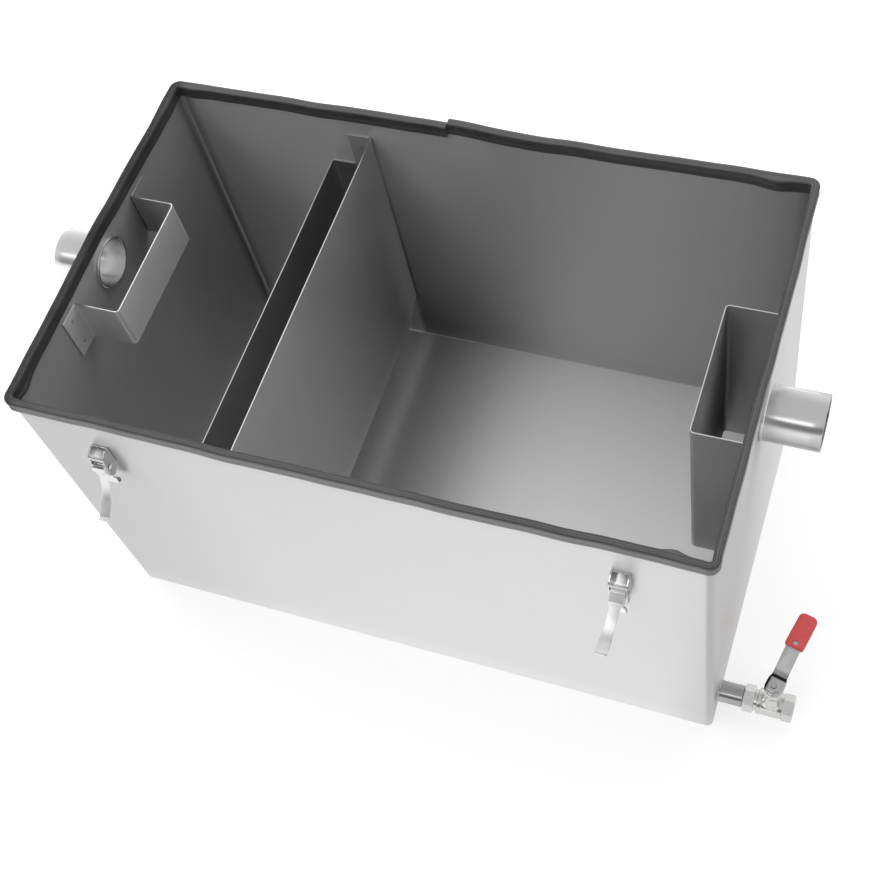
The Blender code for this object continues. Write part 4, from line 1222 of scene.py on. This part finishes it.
def buildLatch(name, right, side, openAngle):
    origin = np.array((right * latch["x"], side * latch["fromMiddle"], latch["z"]))
    facing = turnZ(0 if side < 0 else 180)
    swung = facing @ turnX(-openAngle)
    inset, drop = latch["clawIn"], latch["clawDrop"]
    clawPlace = origin + swung @ np.array((0, inset, -drop))
    node = "latch_" + name
    title = "latch" + name.title().replace("_", "")
    plate, *ears = placed(latchBaseShells(), facing, origin)
    base = makePiece(title + "Base", [plate], earSteel)
    cutAway(base, ears, "UNION")
    cutAway(base, placed([rod(pivot, alongX, -0.012, 0.012, latch["earHole"])], facing, origin))
    bevelEdges(base, 0.00012)
    dress(base, "trap", "plated_steel", node + "_base")
    pin = makePiece(title + "Pin", placed([latchPinShell()], facing, origin), latchSteel)
    dress(pin, "trap", "plated_steel", node + "_pin")
    lever = makePiece(title + "Lever", placed([latchLeverShell()], swung, origin), softSteel)
    cutAway(lever, placed(latchCheeks(), swung, origin), "UNION")
    holes = [rod(at, alongX, -0.009, 0.009, radius)
             for at, radius in ((pivot, latch["earHole"]), ((0, inset, -drop), clawHole))]
    cutAway(lever, placed(holes, swung, origin))
    shadeRound(lever.data)
    dress(lever, node + "_arm", "plated_steel", node + "_lever")
    clawPin = makePiece(title + "ClawPin", placed([clawPinShell()], swung, clawPlace), latchSteel)
    dress(clawPin, node + "_arm", "plated_steel", node + "_claw_pin")
    claw = makePiece(title + "Claw", placed(latchClawShells(), facing, clawPlace), latchSteel)
    dress(claw, node + "_hook", "plated_steel", node + "_claw")


for name, values in latchPlaces.items():
    buildLatch(name, *values)
print("lid latches made")

# Spot welds: low domes on the flanges of the boxes and plates
weldSpots = {
    "radius": 0.0017,
    "rise": 0.00035,
    "sunk": 0.0002,
    "boxFlange": 0.0125,
    "inletHeights": (0.010, 0.040),
    "outletHeights": (0.012, 0.070, 0.130, 0.190),
    "plateHeights": (0.030, 0.110, 0.190, 0.272),
}


def domeShell(centre, normal):
    # a low dome: height = rise * cos(quarter turn * r / radius), with a flat underside just under the sheet's face
    stations = [(-weldSpots["sunk"], weldSpots["radius"])]
    stations += [(weldSpots["rise"] * math.cos(r * quarterTurn), weldSpots["radius"] * r)
                 for r in np.linspace(1, 0.04, 6)]
    return turnedShell(stations, centre, normal, 20, closed=False)


def buildWeldSpots():
    half = boxes["width"] / 2 + weldSpots["boxFlange"]
    face = innerX - seatGap - boxes["gauge"]
    shells = [domeShell((side * face, boxes["middleY"] + way * half, boxes["top"] - down), (-side, 0, 0))
              for side, heights in ((-1, weldSpots["inletHeights"]), (1, weldSpots["outletHeights"]))
              for way in (-1, 1) for down in heights]
    flange = (baffles["channel"] - baffles["spacing"]) / 4
    face = innerY - seatGap - baffles["gauge"]
    shells += [domeShell((x, way * face, up + higher), (0, -way, 0))
               for x, higher in ((baffles["weirX"] + flange, 0),
                                 (baffles["weirX"] + baffles["channel"] - flange,
                                  baffles["underflowTop"] - baffles["weirTop"]))
               for way in (-1, 1) for up in weldSpots["plateHeights"]]
    dress(makePiece("weldSpots", shells, weldSteel, 60), "trap", "stainless_steel")


buildWeldSpots()
print("spot welds made")

# the nodes that no piece replaces: the valve's seats, ball and stem
for name in sorted(frame["nodes"]):
    node = frame["nodes"][name]
    if not node.hide_render:
        node.data.materials.clear()
        node.data.materials.append(sealWhite if name.startswith("valve_seat") else leverSteel)

# Floor, light and camera
studio = {
    "world": (1.0, 0.65, 0.05, 0.75),
    "bandFront": (1.0, 0.0, -0.80, -0.45),
    "bandFoot": (0.0, 1.0, 0.10, 0.20),
    "bandTop": (1.0, 0.0, 0.56, 0.66),
    "bandDark": 0.75,
    "floorReach": 6.0,
    "floorColour": 0.80,
    "floorGlow": 0.52,
    # painted reflection: the floor glow that metal sees, varied along X
    "paper": (1.02, 1.14, -0.40, 0.05),
    "paperPastEnd": (1.0, 0.71 / 1.14, 0.25, 0.32),
    "keyLight": ((-0.92, 1.37, 2.84), (0, 0, 0.1), (4.2, 4.0), 60.0),
    "frontLight": ((-0.60, -1.60, 2.0), (0, -0.2, 0.3), (2.0, 0.55), 4.6),
    "flagged": ("inletStub", "outletStub", "drainSocket", "valve", "gland", "leverPlate", "leverNut"),
}
view = {
    "right": (0.9341, 0.3203, -0.1578),
    "up": (-0.2065, 0.8451, 0.4932),
    "forward": (-0.2914, 0.4281, -0.8555),
    "place": (0.3969, -0.6097, 1.3293),
    "focal": 1451.2 / 870,
    "sensor": 36,
}


def emptyTree(owner):
    owner.use_nodes = True
    owner.node_tree.nodes.clear()
    return owner.node_tree


def addObject(name, data):
    made = bpy.data.objects.new(name, data)
    bpy.context.scene.collection.objects.link(made)
    return made


def buildFloor():
    reach = studio["floorReach"]
    mesh = bpy.data.meshes.new("studioFloor")
    mesh.from_pydata([(-reach, -reach, 0), (reach, -reach, 0), (reach, reach, 0), (-reach, reach, 0)], [],
                     [(0, 1, 2, 3)])
    floor = addObject("studioFloor", mesh)
    material = bpy.data.materials.new("studioFloor")
    tree = emptyTree(material)
    ray = addNode(tree, "LightPath", {}).outputs
    matt = addNode(tree, "BsdfDiffuse", {"Color": grey(studio["floorColour"])})
    glow = addNode(tree, "Emission", {"Strength": times(tree, ray["Is Camera Ray"], studio["floorGlow"])})
    both = addNode(tree, "AddShader", {0: matt.outputs[0], 1: glow.outputs[0]})
    # painted reflection: what metal sees of the floor is a glow for white paper, painted brightest in front and
    # duller past the right end
    x = split(tree, coordinates(tree))[0]
    white = times(tree, spread(tree, x, *studio["paper"]), spread(tree, x, *studio["paperPastEnd"]))
    paper = addNode(tree, "Emission", {"Strength": white})
    mirrored = maths(tree, "MAXIMUM", ray["Is Glossy Ray"], ray["Is Transmission Ray"])
    chosen = addNode(tree, "MixShader", {0: mirrored, 1: both.outputs[0], 2: paper.outputs[0]})
    addNode(tree, "OutputMaterial", {"Surface": chosen.outputs[0]})
    mesh.materials.append(material)


def buildWorld():
    # white near the horizon and below, dimmer overhead; the camera sees white
    world = bpy.data.worlds.new("studio")
    bpy.context.scene.world = world
    tree = emptyTree(world)
    x, y, z = split(tree, addNode(tree, "TexCoord", {}).outputs["Generated"])
    # the unlit room behind the camera, between the horizon and the front light
    band = times(tree, spread(tree, z, *studio["bandFoot"]), spread(tree, z, *studio["bandTop"]),
                 spread(tree, y, *studio["bandFront"]), studio["bandDark"])
    level = times(tree, spread(tree, z, *studio["world"]), maths(tree, "SUBTRACT", 1.0, band))
    seen = addNode(tree, "LightPath", {}).outputs["Is Camera Ray"]
    background = addNode(tree, "Background", {"Strength": blendNumbers(tree, seen, level, 1.0)})
    addNode(tree, "OutputWorld", {"Surface": background.outputs[0]})


def addSoftbox(name, place, target, size, power):
    data = bpy.data.lights.new(name, "AREA")
    data.shape = "RECTANGLE"
    data.size, data.size_y = size
    data.energy = power
    lamp = addObject(name, data)
    lamp.location = place
    lamp.rotation_euler = (Vector(target) - Vector(place)).to_track_quat("-Z", "Y").to_euler()
    return lamp


def flagLamp(lamp, titles):
    # keeps a lamp's glare off the polished parts, as a flag on a stand does
    shaded = bpy.data.collections.new("shaded")
    for piece in bpy.context.scene.objects:
        if piece.type == "MESH" and piece.name.startswith(titles):
            shaded.objects.link(piece)
    lamp.light_linking.receiver_collection = shaded
    for entry in shaded.collection_objects:
        entry.light_linking.link_state = "EXCLUDE"


def buildCamera():
    data = bpy.data.cameras.new("camera")
    data.sensor_width = view["sensor"]
    data.sensor_fit = "HORIZONTAL"
    data.lens = view["focal"] * view["sensor"]
    data.clip_start = 0.01
    camera = addObject("camera", data)
    matrix = Matrix((view["right"], view["up"], -Vector(view["forward"]))).transposed().to_4x4()
    matrix.translation = view["place"]
    camera.matrix_world = matrix
    bpy.context.scene.camera = camera


buildFloor()
buildWorld()
flagLamp(addSoftbox("keyLight", *studio["keyLight"]), studio["flagged"])
addSoftbox("frontLight", *studio["frontLight"])
buildCamera()
bpy.context.scene.view_settings.view_transform = "Standard"
print("studio made")
